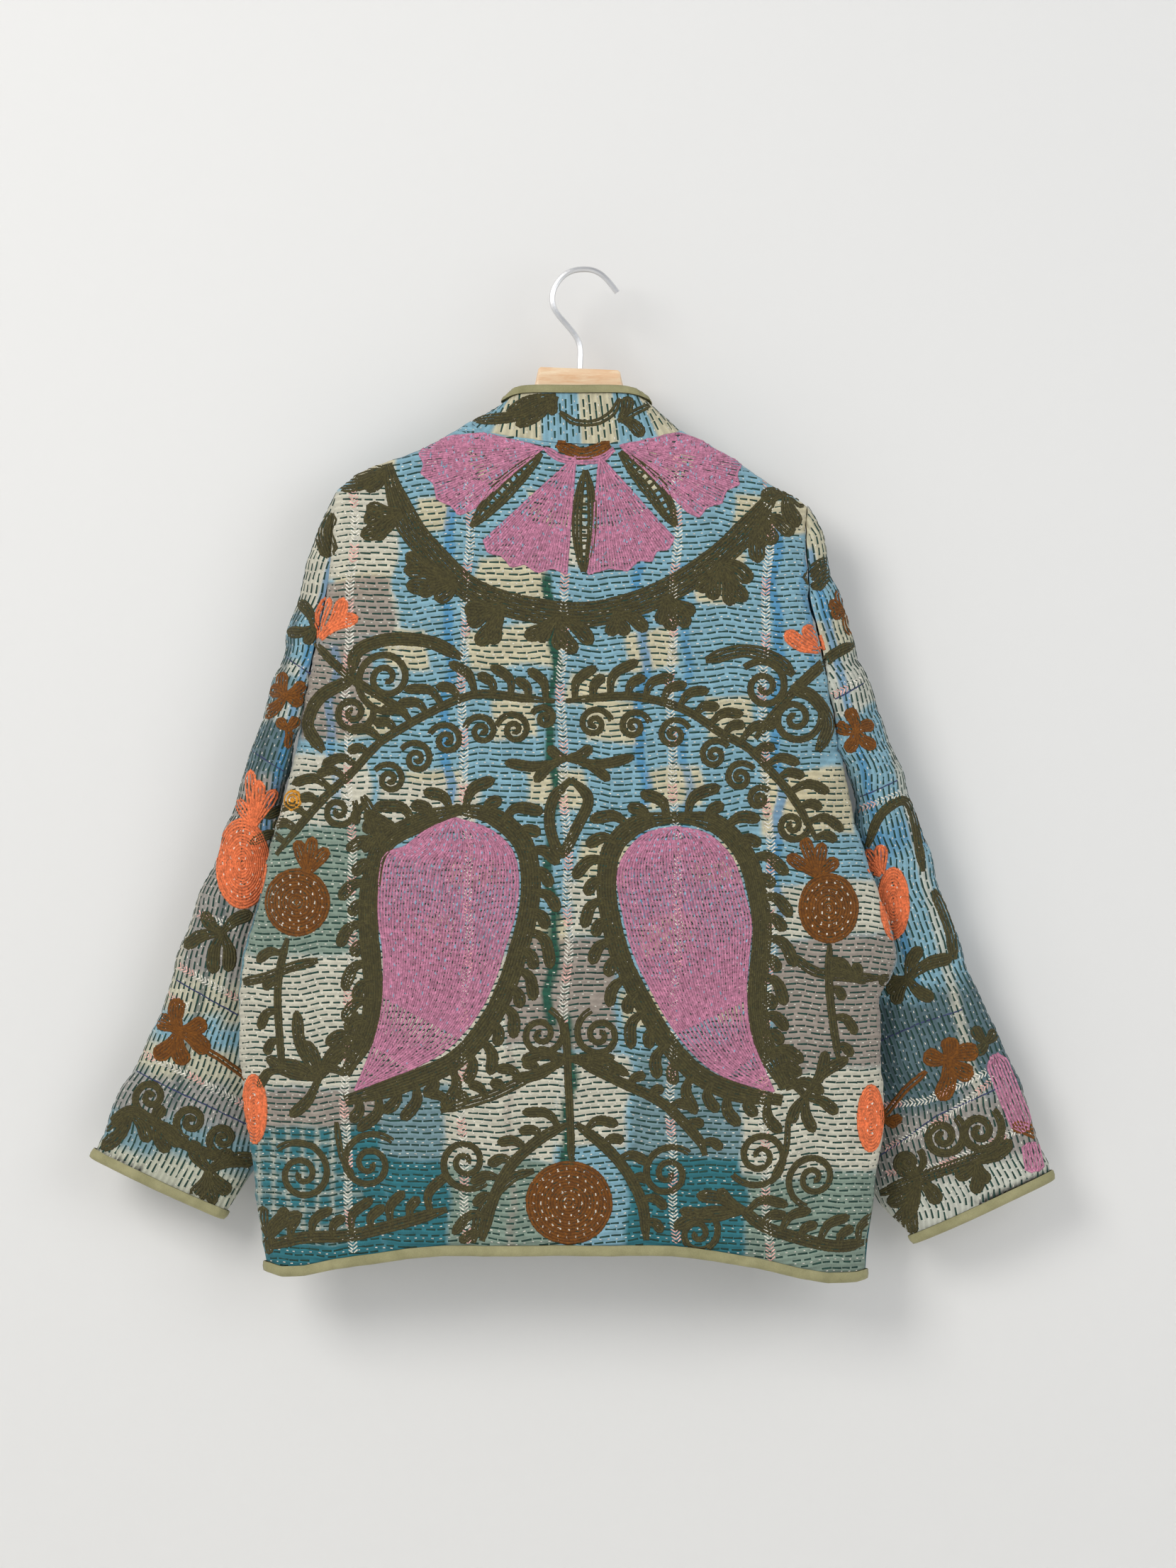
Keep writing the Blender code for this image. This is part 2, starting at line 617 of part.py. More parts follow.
def build_band(fronts, surfaces):
    """The band round the neck and down both fronts, and the binding along its free edge."""
    seam, way, seam_in, kept = [], [], [], []
    left, left_in = fronts["left"]
    right, right_in = fronts["right"]
    for r in range(ROWS - 1, 0, -1):
        if r in PLAIN_ROWS:
            kept.append(len(seam))
        seam.append(left[r, -1])
        way.append(band_line("left", left)[r])
        seam_in.append(left_in[r, -1])
    back = np.array([row[:3] for row in BACK_COLLAR])
    free = np.array([row[3:] for row in BACK_COLLAR])
    for point, end, offset in zip(back, free, neck_offsets(back)):
        kept.append(len(seam))
        seam.append(point)
        way.append(end - point)
        seam_in.append(offset)
    for r in range(1, ROWS):
        if r in PLAIN_ROWS:
            kept.append(len(seam))
        seam.append(right[r, -1])
        way.append(band_line("right", right)[r])
        seam_in.append(right_in[r, -1])
    seam, way, seam_in = np.array(seam), np.array(way), np.array(seam_in)
    width = np.linalg.norm(way, axis=-1, keepdims=True)
    cut = 1 - BAND_EDGE / width
    shares = np.stack([cut * 0.0, cut / 3, cut * 2 / 3, cut, cut * 0 + 1.0], axis=1)
    grid = seam[:, None] + way[:, None] * shares
    for share in range(1, 5):
        for axis in range(3):
            grid[:, share, axis] = np.interp(np.arange(len(seam)), kept, grid[kept, share, axis])
    normals = inward(grid, (0, -10, -600))
    middle_back = len(seam) // 2
    if normals[middle_back, 2, 1] < 0:
        normals = -normals
    offsets = normals.copy()
    offsets[:, 0] = seam_in
    grid[:, 0] += unit(way) * (NECK_EASE - SEAM_EASE)
    band = grid[:, :4]
    edges = ("top", "bottom", "start", "end")
    sheet_wall(
        "collar_band",
        ease_edges(quilted(band, normals[:, :4]), edges),
        ease_edges((band + offsets[:, :4] * WALL)[kept], edges),
        kept,
        surfaces["collar_band"],
    )
    inner_edge = grid[kept, 3]
    outer_edge = grid[kept, 4]
    across = unit(outer_edge - inner_edge)
    start = inner_edge + across * BAND_BINDING_EASE
    way_in = normals[kept, 3]
    drop = np.zeros_like(start)
    drop[0, 2] = drop[-1, 2] = -HEM_EDGE
    strip(
        "band_binding",
        start + drop - way_in * BINDING_EXTRA,
        start + drop + way_in * (WALL + BINDING_EXTRA),
        outer_edge + drop + way_in * (WALL + BINDING_EXTRA),
        outer_edge + drop - way_in * BINDING_EXTRA,
        surfaces["binding"],
    )
    return grid, offsets


def build_hem(back, fronts, band, surfaces):
    """The hem's binding, from one front edge round the back to the other."""
    line, offsets = [], []
    band_grid, band_in = band
    for c in (3, 2, 1):
        line.append(band_grid[0, c])
        offsets.append(band_in[0, c])
    left, left_in = fronts["left"]
    for c in range(left.shape[1] - 1, 0, -1):
        line.append(left[-1, c])
        offsets.append(left_in[-1, c])
    back_grid, back_in = back
    for c in range(back_grid.shape[1]):
        line.append(back_grid[-1, c])
        offsets.append(back_in[-1, c])
    right, right_in = fronts["right"]
    for c in range(1, right.shape[1]):
        line.append(right[-1, c])
        offsets.append(right_in[-1, c])
    for c in (1, 2, 3):
        line.append(band_grid[-1, c])
        offsets.append(band_in[-1, c])
    line, offsets = np.array(line), np.array(offsets)
    line[0, 0] -= SEAM_EASE
    line[-1, 0] += SEAM_EASE
    top = line + (0, 0, -SEAM_EASE)
    bottom = line + (0, 0, -HEM_EDGE)
    strip(
        "hem_binding",
        top - offsets * BINDING_EXTRA,
        top + offsets * (WALL + BINDING_EXTRA),
        bottom + offsets * (WALL + BINDING_EXTRA),
        bottom - offsets * BINDING_EXTRA,
        surfaces["binding"],
    )


def catmull(points, steps):
    """A smooth curve through points along axis 0, with a number of steps between each pair."""
    padded = np.concatenate([2 * points[:1] - points[1:2], points, 2 * points[-1:] - points[-2:-1]])
    out = []
    for k in range(1, len(padded) - 2):
        for s in range(steps):
            t = s / steps
            a, b, c, d = padded[k - 1:k + 3]
            out.append(0.5 * (2 * b + (c - a) * t + (2 * a - 5 * b + 4 * c - d) * t * t
                              + (3 * b - a - 3 * c + d) * t ** 3))
    out.append(points[-1])
    return np.array(out)


def arc(turn, start, out, into, half):
    """A line of points from an edge round a sleeve's outer fold and back to the other edge."""
    angle = math.pi + turn * (math.pi - start)
    share = ((1 + np.cos(angle)) / (1 + math.cos(start)))[:, None]
    line = out + (into - out) * share
    line[:, 1] -= half * np.sin(angle)
    return line


def sleeve_grid(side, back, back_in, front, front_in, shrink):
    """A sleeve's points, axis 0 round it and axis 1 down it, drawn in by a wall's thickness."""
    edge = 0 if side == "left" else -1
    sign = 1.0 if side == "left" else -1.0
    behind = back[:, edge] + back_in[:, edge] * shrink
    before = front[:, 0] + front_in[:, 0] * shrink
    turn = np.linspace(-1, 1, ARM_ROUND)
    crown = np.concatenate([behind[CROWN_ROW::-1], before[1:CROWN_ROW + 1]])
    walk = np.linspace(0, 1, len(crown))
    lines = [np.stack([np.interp((turn + 1) / 2, walk, crown[:, a]) for a in range(3)], axis=-1)]
    underarm = len(YOKE_STEPS) - 1 + UNDERARM_ROW[side]
    for row in [r for r in ARM_ROWS if r < underarm] + [underarm]:
        into = (behind[row] + before[row]) / 2
        gape = (before[row, 1] - behind[row, 1]) / 2
        if row == underarm:
            into = back[row, edge] + np.array([-UNDERARM_WAY[1] * sign, 0.0, UNDERARM_WAY[0]]) * shrink
            gape = 0.0
        height = back[row, edge, 2]
        out = np.array([read(ARM_EDGE[side], ARM_COLUMNS, "z", name, height) for name in ("x", "y", "z")])
        out[0] += sign * shrink
        half = read(ARM_EDGE[side], ARM_COLUMNS, "z", "half", height) - shrink
        out[2] = into[2]
        lines.append(arc(turn, math.asin(gape / half), out, into, half))
    for x_out, z_out, y_out, x_in, z_in, y_in, half in SLEEVES[side]:
        out = np.array([x_out, y_out, z_out], dtype=float)
        into = np.array([x_in, y_in, z_in], dtype=float)
        across = unit(into - out)
        lines.append(arc(turn, 0.0, out + across * shrink, into - across * shrink, half - shrink))
    grid = np.array(lines)
    grid[..., 0] -= sign * SLEEVE_EASE
    cuff = grid[-1].copy()
    grid[-1] = cuff - unit(cuff - grid[-2]) * CUFF_EDGE
    return np.transpose(grid, (1, 0, 2)), cuff, len(lines) - 1 - len(SLEEVES[side])


def sleeve_wall(name, outer, inner, kept, joined, surface):
    """A wall round a sleeve, open beside the armhole and closed to a tube from the joined row down."""
    around, rows = outer.shape[:2]
    plain_around = inner.shape[0]
    start = around * rows
    out = np.arange(start).reshape(around, rows)
    into = start + np.arange(plain_around * rows).reshape(plain_around, rows)
    out[-1, joined:] = out[0, joined:]
    into[-1, joined:] = into[0, joined:]
    faces = []
    for r in range(rows - 1):
        for a in range(around - 1):
            faces.append((out[a, r], out[a + 1, r], out[a + 1, r + 1], out[a, r + 1]))
        for a in range(plain_around - 1):
            faces.append((into[a, r], into[a, r + 1], into[a + 1, r + 1], into[a + 1, r]))
    for r in range(joined):
        faces.append((out[0, r], out[0, r + 1], into[0, r + 1], into[0, r]))
        faces.append((out[-1, r + 1], out[-1, r], into[-1, r], into[-1, r + 1]))
    faces += ladder(out[:, 0], into[:, 0], kept, True)
    faces += ladder(out[:, -1], into[:, -1], kept, False)
    points = np.concatenate([outer.reshape(-1, 3), inner.reshape(-1, 3)])
    used = sorted({int(corner) for face in faces for corner in face})
    number = {corner: n for n, corner in enumerate(used)}
    faces = [tuple(number[int(corner)] for corner in face) for face in faces]
    return solid(name, points[used], faces, surface)


def build_sleeve(side, back, front, surfaces):
    """One sleeve from its armhole to its cuff, and the cuff's binding."""
    grid, cuff, joined = sleeve_grid(side, *back, *front, 0.0)
    lining, cuff_in, _ = sleeve_grid(side, *back, *front, WALL)
    kept = list(range(0, ARM_ROUND - 1, PLAIN_ROUND)) + [ARM_ROUND - 1]
    for line in (grid[:, -1], cuff):
        for axis in range(3):
            line[:, axis] = np.interp(np.arange(ARM_ROUND), kept, line[kept, axis])
    outer = quilted(grid, unit(lining - grid))
    inner = lining[kept]
    for wall in (outer, inner):
        wall[:, -1] += SEAM_EASE * unit(wall[:, -2] - wall[:, -1])
    sleeve_wall(f"sleeve_{side}", outer, inner, kept, joined, surfaces[f"sleeve_{side}"])
    start, finish = grid[kept[:-1], -1], cuff[kept[:-1]]
    start_in, finish_in = lining[kept[:-1], -1], cuff_in[kept[:-1]]
    gap = SEAM_EASE * unit(finish - start)
    extra = BINDING_EXTRA * unit(start_in - start)
    strip(
        f"cuff_binding_{side}",
        start + gap - extra,
        start_in + gap + extra,
        finish_in + extra,
        finish - extra,
        surfaces["binding"],
        closed=True,
    )


def build_bar(surfaces):
    """The hanger's wooden bar: a block at its middle and an arm to each shoulder, in rounded sections."""
    rings = []
    for x, top, bottom, half in BAR:
        middle = (top + bottom) / 2
        tall = (top - bottom) / 2
        ring = []
        for k in range(BAR_SIDES):
            angle = 2 * math.pi * (k + 0.5) / BAR_SIDES
            y = half * math.copysign(abs(math.cos(angle)) ** 0.6, math.cos(angle))
            z = middle + tall * math.copysign(abs(math.sin(angle)) ** 0.6, math.sin(angle))
            ring.append((x, y, z))
        rings.append(ring)
    points = np.array(rings).reshape(-1, 3)
    corner = np.arange(len(points)).reshape(len(BAR), BAR_SIDES)
    faces = []
    for r in range(len(BAR) - 1):
        for k in range(BAR_SIDES):
            n = (k + 1) % BAR_SIDES
            faces.append((corner[r, k], corner[r, n], corner[r + 1, n], corner[r + 1, k]))
    faces.append(tuple(reversed(corner[0])))
    faces.append(tuple(corner[-1]))
    solid("hanger_bar", points, faces, surfaces["hanger_bar"])


def build_hook(surfaces):
    """The hanger's wire hook, standing on the bar's block."""
    line = catmull(np.array([(x, 0.0, z) for x, z in HOOK]), HOOK_STEPS)
    curve = bpy.data.curves.new("hanger_hook", "CURVE")
    curve.dimensions = "3D"
    curve.bevel_depth = HOOK_WIRE / 2 * MM
    curve.bevel_resolution = 2
    curve.use_fill_caps = True
    spline = curve.splines.new("POLY")
    spline.points.add(len(line) - 1)
    for point, place in zip(spline.points, line):
        point.co = (*(place * MM), 1.0)
    curve.materials.append(surfaces["hanger_hook"])
    made = bpy.data.objects.new("hanger_hook", curve)
    bpy.context.scene.collection.objects.link(made)


def main():
    for found in list(bpy.data.objects):
        bpy.data.objects.remove(found)
    surfaces = {name: material(name, colour) for name, colour in COLOURS.items()}
    surfaces["hanger_hook"] = material("hook_metal", COLOURS["hanger_hook"], 0.35, 1.0)
    back_grid, back_in, _ = build_back(surfaces)
    fronts = {side: build_front(side, surfaces) for side in ("left", "right")}
    band = build_band(fronts, surfaces)
    build_hem((back_grid, back_in), fronts, band, surfaces)
    for side in ("left", "right"):
        build_sleeve(side, (back_grid, back_in), fronts[side], surfaces)
    build_bar(surfaces)
    build_hook(surfaces)


main()
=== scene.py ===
"""The looks of a quilted, embroidered jacket that hangs on a wooden hanger, seen from behind.

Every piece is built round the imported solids, in the same frame: +Z up, the back facing -Y, the
origin inside the top of the hook. Lengths are in millimetres until a mesh is made. Places on the
jacket are also given on a picture plane, P: 0.6 mm a unit, from the top left, Z down.
"""

import math

import bpy
import numpy as np
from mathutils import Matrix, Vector
from mathutils.bvhtree import BVHTree


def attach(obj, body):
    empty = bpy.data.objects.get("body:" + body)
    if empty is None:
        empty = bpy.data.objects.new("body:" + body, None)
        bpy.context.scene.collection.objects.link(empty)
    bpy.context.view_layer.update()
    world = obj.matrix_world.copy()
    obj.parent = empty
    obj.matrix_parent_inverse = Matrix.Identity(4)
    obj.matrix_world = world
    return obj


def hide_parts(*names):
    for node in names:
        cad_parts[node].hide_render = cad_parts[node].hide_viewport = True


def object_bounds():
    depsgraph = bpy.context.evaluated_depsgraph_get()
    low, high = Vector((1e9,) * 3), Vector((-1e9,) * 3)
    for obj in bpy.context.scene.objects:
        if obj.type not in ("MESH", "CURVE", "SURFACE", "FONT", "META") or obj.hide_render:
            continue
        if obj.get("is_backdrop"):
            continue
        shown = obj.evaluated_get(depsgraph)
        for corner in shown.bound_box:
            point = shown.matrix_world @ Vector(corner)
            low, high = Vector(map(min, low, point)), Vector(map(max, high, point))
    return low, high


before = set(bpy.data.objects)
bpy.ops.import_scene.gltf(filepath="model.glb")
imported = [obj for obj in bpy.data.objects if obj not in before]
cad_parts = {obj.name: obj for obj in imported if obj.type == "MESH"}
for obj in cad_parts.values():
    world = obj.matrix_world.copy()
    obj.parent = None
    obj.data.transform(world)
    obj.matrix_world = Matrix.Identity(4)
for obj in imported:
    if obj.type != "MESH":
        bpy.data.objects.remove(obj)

cad_low, cad_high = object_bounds()
MM = 0.001
UNIT = 0.6
CENTRE_X = 820.0
CENTRE_Z = 379.4
rng = np.random.default_rng(11)


def to_mm(points):
    """Points of the picture plane as x and z in millimetres."""
    points = np.asarray(points, dtype=float)
    return np.stack([(points[..., 0] - CENTRE_X) * UNIT, -(points[..., 1] - CENTRE_Z) * UNIT], axis=-1)


def to_picture(x, z):
    """The place on the picture plane of an x and z in millimetres."""
    return x / UNIT + CENTRE_X, -z / UNIT + CENTRE_Z


# Motifs on the picture plane. A petal: where its rows meet, and its scalloped end
PETALS = (
    ((767, 632), ((681, 611), (632, 614), (601, 624), (590, 638), (599, 653), (594, 666), (612, 681),
     (617, 704), (637, 713), (648, 727), (669, 717))),
    ((812, 644), ((683, 764), (689, 780), (709, 785), (722, 801), (741, 796), (759, 809), (779, 802),
     (799, 811))),
    ((846, 644), ((950, 760), (942, 776), (926, 777), (918, 793), (901, 790), (885, 806), (861, 802),
     (830, 811))),
    ((875, 629), ((959, 609), (1008, 625), (1039, 642), (1048, 651), (1039, 668), (1043, 682), (1024, 691),
     (1017, 710), (996, 715), (986, 730), (971, 723))),
)
# A pod: its middle line and half its width
PODS = (
    (((764, 640), (714, 687), (665, 744)), 13.9),
    (((826, 664), (825, 736), (823, 808)), 16.3),
    (((875, 638), (922, 687), (953, 743)), 15.5),
)
# A paisley: its two edges from top to tip
PAISLEYS = (
    (((644, 1154), (608, 1168), (575, 1193), (544, 1207), (537, 1254), (538, 1299), (544, 1344),
     (544, 1393), (537, 1442), (526, 1482), (504, 1534)), ((644, 1154), (689, 1168), (722, 1197),
     (732, 1238), (727, 1287), (714, 1331), (697, 1384), (671, 1433), (632, 1476), (575, 1507),
     (504, 1534))),
    (((954, 1166), (910, 1176), (881, 1205), (871, 1238), (879, 1287), (893, 1340), (922, 1401),
     (952, 1451), (991, 1495), (1032, 1519), (1089, 1536)), ((954, 1166), (999, 1178), (1032, 1213),
     (1048, 1262), (1057, 1304), (1053, 1352), (1050, 1401), (1055, 1450), (1069, 1491), (1089, 1536))),
)
# A paisley's frame: its line, and the side that its leaves are on
FRAMES = (
    (((652, 1141), (599, 1158), (544, 1190), (524, 1254), (523, 1311), (528, 1364), (530, 1409),
     (519, 1458), (490, 1511)), 1),
    (((644, 1141), (697, 1151), (738, 1187), (750, 1238), (745, 1291), (732, 1340), (714, 1393),
     (688, 1443), (644, 1492), (575, 1523), (490, 1549)), -1),
    (((954, 1152), (901, 1161), (865, 1193), (855, 1242), (861, 1295), (877, 1352), (904, 1407),
     (936, 1461), (979, 1509), (1034, 1536), (1101, 1549)), 1),
    (((954, 1152), (1009, 1162), (1048, 1203), (1065, 1254), (1073, 1304), (1070, 1352), (1066, 1401),
     (1071, 1450), (1085, 1491), (1106, 1531)), -1),
)
GARLAND = (
    (544, 648), (557, 695), (579, 744), (612, 784), (657, 828), (706, 851), (763, 864), (820, 869),
    (877, 859), (934, 838), (983, 809), (1028, 774), (1065, 733), (1101, 682),
)
# Leaves from one root: the root, their tips, and half a leaf's width
CLUSTERS = (
    ((544, 662), ((475, 682), (485, 674), (514, 687)), 10.6),
    ((567, 723), ((511, 756), (516, 736), (519, 715), (530, 761)), 9.8),
    ((644, 820), ((575, 782), (572, 805), (575, 826), (593, 839), (616, 846)), 9.8),
    ((710, 854), ((657, 860), (663, 883), (674, 909), (697, 909)), 10.6),
    ((787, 872), ((742, 899), (763, 906), (787, 916), (812, 921), (834, 909)), 9.0),
    ((869, 864), ((859, 896), (885, 895), (911, 890)), 8.2),
    ((938, 842), ((930, 880), (950, 888), (968, 885), (979, 864)), 9.0),
    ((1016, 793), ((983, 833), (1006, 846), (1029, 854), (1052, 847), (1058, 821)), 9.8),
    ((1077, 727), ((1069, 771), (1093, 766), (1118, 753), (1069, 793)), 9.8),
    ((1110, 695), ((1138, 709), (1126, 741), (1097, 682), (1077, 703)), 10.6),
    ((452, 1519), ((412, 1572), (434, 1468), (421, 1425), (395, 1499), (497, 1462), (506, 1425),
     (379, 1491)), 6.5),
    ((1134, 1544), ((1194, 1492), (1163, 1482), (1101, 1478), (1146, 1593), (1179, 1568), (1114, 1580)),
     6.5),
    ((799, 1070), ((714, 1076), (756, 1102), (775, 1055), (893, 1068), (859, 1100), (834, 1055)), 5.7),
    ((379, 1745), ((371, 1703), (403, 1703), (426, 1711), (379, 1768)), 7.3),
    ((799, 1487), ((725, 1517), (738, 1491), (885, 1511), (865, 1487)), 5.7),
    ((1048, 1703), ((959, 1703), (983, 1682), (1012, 1674), (950, 1727)), 7.3),
)
# A branch: its line, half its width, its leaves' side, their length and the space between them
BRANCHES = (
    (((783, 990), (738, 986), (689, 980), (657, 984), (616, 1002), (575, 1024), (534, 1051), (497, 1091),
     (452, 1133), (391, 1205)), 4.1, 1, 37.6, 29.4),
    (((799, 990), (836, 986), (885, 983), (934, 991), (975, 1007), (1016, 1035), (1052, 1054), (1085, 1087),
     (1118, 1127), (1150, 1184)), 4.1, -1, 37.6, 29.4),
    (((799, 1491), (754, 1511), (697, 1540), (624, 1562)), 6.5, 1, 24.5, 32.7),
    (((813, 1491), (869, 1519), (934, 1552), (983, 1601), (993, 1625)), 6.5, -1, 21.2, 39.2),
    (((802, 1580), (763, 1601), (722, 1639), (699, 1682), (681, 1745)), 7.3, 1, 32.7, 32.7),
    (((813, 1580), (852, 1611), (885, 1650), (906, 1695), (911, 1744)), 7.3, -1, 27.8, 37.6),
    (((371, 1760), (428, 1744), (493, 1740), (559, 1723), (632, 1701)), 9.0, -1, 39.2, 34.3),
    (((1039, 1696), (1077, 1726), (1130, 1745), (1179, 1756), (1224, 1753)), 9.0, -1, 37.6, 34.3),
    (((408, 1323), (397, 1368), (394, 1417), (400, 1507)), 3.3, 1, 27.8, 49.0),
    (((1168, 1331), (1167, 1376), (1171, 1425), (1181, 1491)), 3.3, -1, 27.8, 49.0),
    (((514, 1123), (534, 1164), (544, 1197)), 6.5, 1, 24.5, 27.8),
    (((1220, 1384), (1179, 1368), (1171, 1376)), 4.9, 1, 16.3, 32.7),
)
# A stem: its line and half its width
STEMS = (
    (((799, 1440), (801, 1500), (804, 1560), (807, 1638)), 3.3),
    (((652, 929), (608, 907), (550, 903), (506, 919), (497, 953)), 7.3),
    (((444, 907), (485, 948), (526, 976), (575, 1005)), 4.1),
    (((457, 1060), (434, 1025), (452, 984), (501, 958)), 7.3),
    (((995, 932), (1048, 919), (1093, 931), (1118, 953)), 7.3),
    (((1156, 937), (1126, 968), (1093, 1005), (1065, 1042)), 4.1),
    (((1153, 1060), (1169, 1021), (1146, 984), (1114, 972)), 7.3),
    (((806, 1099), (781, 1127), (776, 1164), (792, 1203), (813, 1168), (830, 1127), (806, 1099)), 5.7),
    (((754, 1646), (722, 1658), (681, 1703), (669, 1748)), 4.9),
    (((477, 1580), (485, 1629), (501, 1654)), 2.4),
    (((1110, 1572), (1106, 1621), (1089, 1654)), 2.4),
    (((538, 1189), (522, 1148), (559, 1168)), 4.9),
    (((338, 1386), (375, 1378), (410, 1364), (451, 1353)), 4.9),
    (((1114, 1345), (1146, 1368), (1187, 1376), (1240, 1379)), 4.9),
)
# A curl: its centre, radius, start in degrees, turns and half its line's width
CURLS = (
    ((546, 957), 32.7, 200, 1.7, 3.7),
    ((498, 1006), 21.2, 90, 1.5, 3.7),
    ((479, 1144), 18.0, 70, 1.4, 3.3),
    ((1077, 970), 26.1, 340, 1.6, 3.7),
    ((1120, 1014), 26.1, 90, 1.5, 3.7),
    ((1115, 1164), 16.3, 110, 1.4, 3.3),
    ((552, 1100), 16.3, 320, 1.5, 2.9),
    ((590, 1071), 17.1, 320, 1.5, 2.9),
    ((632, 1045), 17.1, 310, 1.5, 2.9),
    ((681, 1032), 16.3, 300, 1.5, 2.9),
    ((727, 1030), 17.1, 300, 1.5, 2.9),
    ((769, 1014), 12.2, 300, 1.4, 2.9),
    ((838, 1022), 16.3, 240, -1.5, 2.9),
    ((893, 1025), 15.5, 240, -1.5, 2.9),
    ((949, 1037), 16.3, 230, -1.5, 2.9),
    ((1006, 1066), 15.5, 220, -1.5, 2.9),
    ((1042, 1097), 15.5, 220, -1.5, 2.9),
    ((1069, 1127), 12.2, 220, -1.4, 2.9),
    ((764, 1455), 24.5, 45, 1.6, 3.3),
    ((846, 1456), 24.5, 135, -1.6, 3.3),
    ((428, 1654), 32.7, 340, 1.6, 3.3),
    ((523, 1638), 31.0, 200, -1.6, 3.3),
    ((658, 1634), 27.8, 160, 1.6, 3.3),
    ((1070, 1626), 31.0, 30, -1.6, 3.3),
    ((1146, 1659), 27.8, 220, 1.6, 3.3),
    ((941, 1651), 27.8, 200, -1.6, 3.3),
    ((983, 1736), 22.9, 30, 1.5, 3.3),
)
# A fruit: its centre, half its width and height, its crown's tips and their root
FRUITS = (
    ((421, 1272), 47.3, 47.3, ((421, 1187), (443, 1182), (464, 1198)), (436, 1231)),
    ((1167, 1280), 42.4, 49.0, ((1110, 1207), (1132, 1182), (1158, 1190), (1179, 1213)), (1150, 1234)),
    ((803, 1691), 60.4, 58.8, (), (803, 1629)),
)
# A round fruit cut off by the side: its centre, half its width and height
OVALS = (((359, 1564), 18.0, 50.0), ((1228, 1577), 19.0, 48.0))
# The same on the sleeves, each but the curls with its thread first
ARM_CLUSTERS = (
    ("olive", (444, 885), ((403, 890), (419, 847), (430, 906)), 6.3),
    ("rust", (402, 982), ((369, 1007), (379, 973), (397, 949), (430, 965), (424, 993)), 8.4),
    ("rust", (406, 1027), ((393, 1015), (418, 1013), (406, 1055)), 6.3),
    ("olive", (310, 1317), ((284, 1289), (298, 1374), (319, 1371), (256, 1337), (351, 1290)), 7.7),
    ("rust", (249, 1457), ((247, 1412), (285, 1443), (288, 1487), (256, 1504), (214, 1494), (216, 1443)),
     10.5),
    ("olive", (181, 1574), ((139, 1624), (156, 1592), (205, 1613)), 8.4),
    ("olive", (216, 1585), ((249, 1620), (233, 1627), (226, 1565)), 8.4),
    ("olive", (291, 1655), ((267, 1614), (319, 1627), (268, 1693), (319, 1687), (355, 1642), (296, 1704)),
     9.1),
    ("rust", (1195, 861), ((1173, 848), (1176, 869), (1187, 830), (1205, 893)), 7.0),
    ("rust", (1207, 1032), ((1180, 1022), (1197, 1001), (1233, 1022), (1235, 1053), (1195, 1059)), 7.7),
    ("olive", (1284, 1383), ((1301, 1339), (1319, 1411), (1240, 1380), (1267, 1418), (1346, 1353),
     (1258, 1403)), 7.7),
    ("rust", (1340, 1497), ((1309, 1490), (1342, 1468), (1383, 1487), (1375, 1519), (1331, 1554)), 11.2),
    ("rust", (1249, 1585), ((1247, 1565), (1275, 1581), (1268, 1592)), 5.6),
    ("olive", (1395, 1473), ((1379, 1452), (1409, 1457), (1382, 1487)), 7.0),
    ("olive", (1300, 1671), ((1268, 1735), (1291, 1749), (1327, 1701), (1271, 1642), (1258, 1704)), 9.1),
    ("olive", (1381, 1642), ((1379, 1686), (1397, 1671), (1353, 1664), (1430, 1613)), 8.4),
)
ARM_STEMS = (
    ("olive", ((465, 722), (456, 750), (466, 784)), 12.6),
    ("rust", ((268, 1474), (303, 1494), (344, 1525)), 2.8),
    ("olive", ((135, 1605), (177, 1570), (212, 1585), (261, 1620), (346, 1651)), 5.6),
    ("olive", ((1143, 827), (1159, 806), (1177, 798)), 15.4),
    ("olive", ((1114, 977), (1142, 954), (1177, 923), (1207, 908)), 5.6),
    ("olive", ((1226, 1195), (1243, 1151), (1275, 1129), (1291, 1151), (1305, 1230)), 4.9),
    ("olive", ((1321, 1257), (1343, 1311), (1350, 1355)), 6.3),
    ("rust", ((1310, 1515), (1279, 1544), (1250, 1581)), 2.8),
    ("pink", ((1407, 1491), (1430, 1550), (1451, 1600)), 15.4),
    ("pink", ((1458, 1616), (1465, 1656)), 12.6),
    ("rust", ((1433, 1592), (1452, 1596), (1475, 1607)), 7.0),
    ("olive", ((1247, 1690), (1310, 1664), (1367, 1642), (1430, 1620)), 7.0),
)
ARM_CURLS = (
    ((209, 1550), 18.2, 200, 1.4, 4.2),
    ((266, 1585), 17.5, 200, 1.4, 4.2),
    ((310, 1610), 15.4, 200, 1.4, 4.2),
    ((1284, 1645), 16.8, 60, 1.5, 4.2),
    ((1333, 1607), 22.4, 60, 1.6, 4.9),
    ((1385, 1599), 23.9, 60, 1.6, 4.9),
)
ARM_FRUITS = (
    ("mustard", (413, 1129), 14.0, 15.0, (), (413, 1129)),
    ("orange", (339, 1219), 38.0, 64.5, ((331, 1128), (351, 1087), (365, 1102), (386, 1115)), (356, 1165)),
    ("orange", (1263, 1276), 21.7, 51.9, ((1225, 1201), (1245, 1194), (1226, 1222)), (1246, 1234)),
)
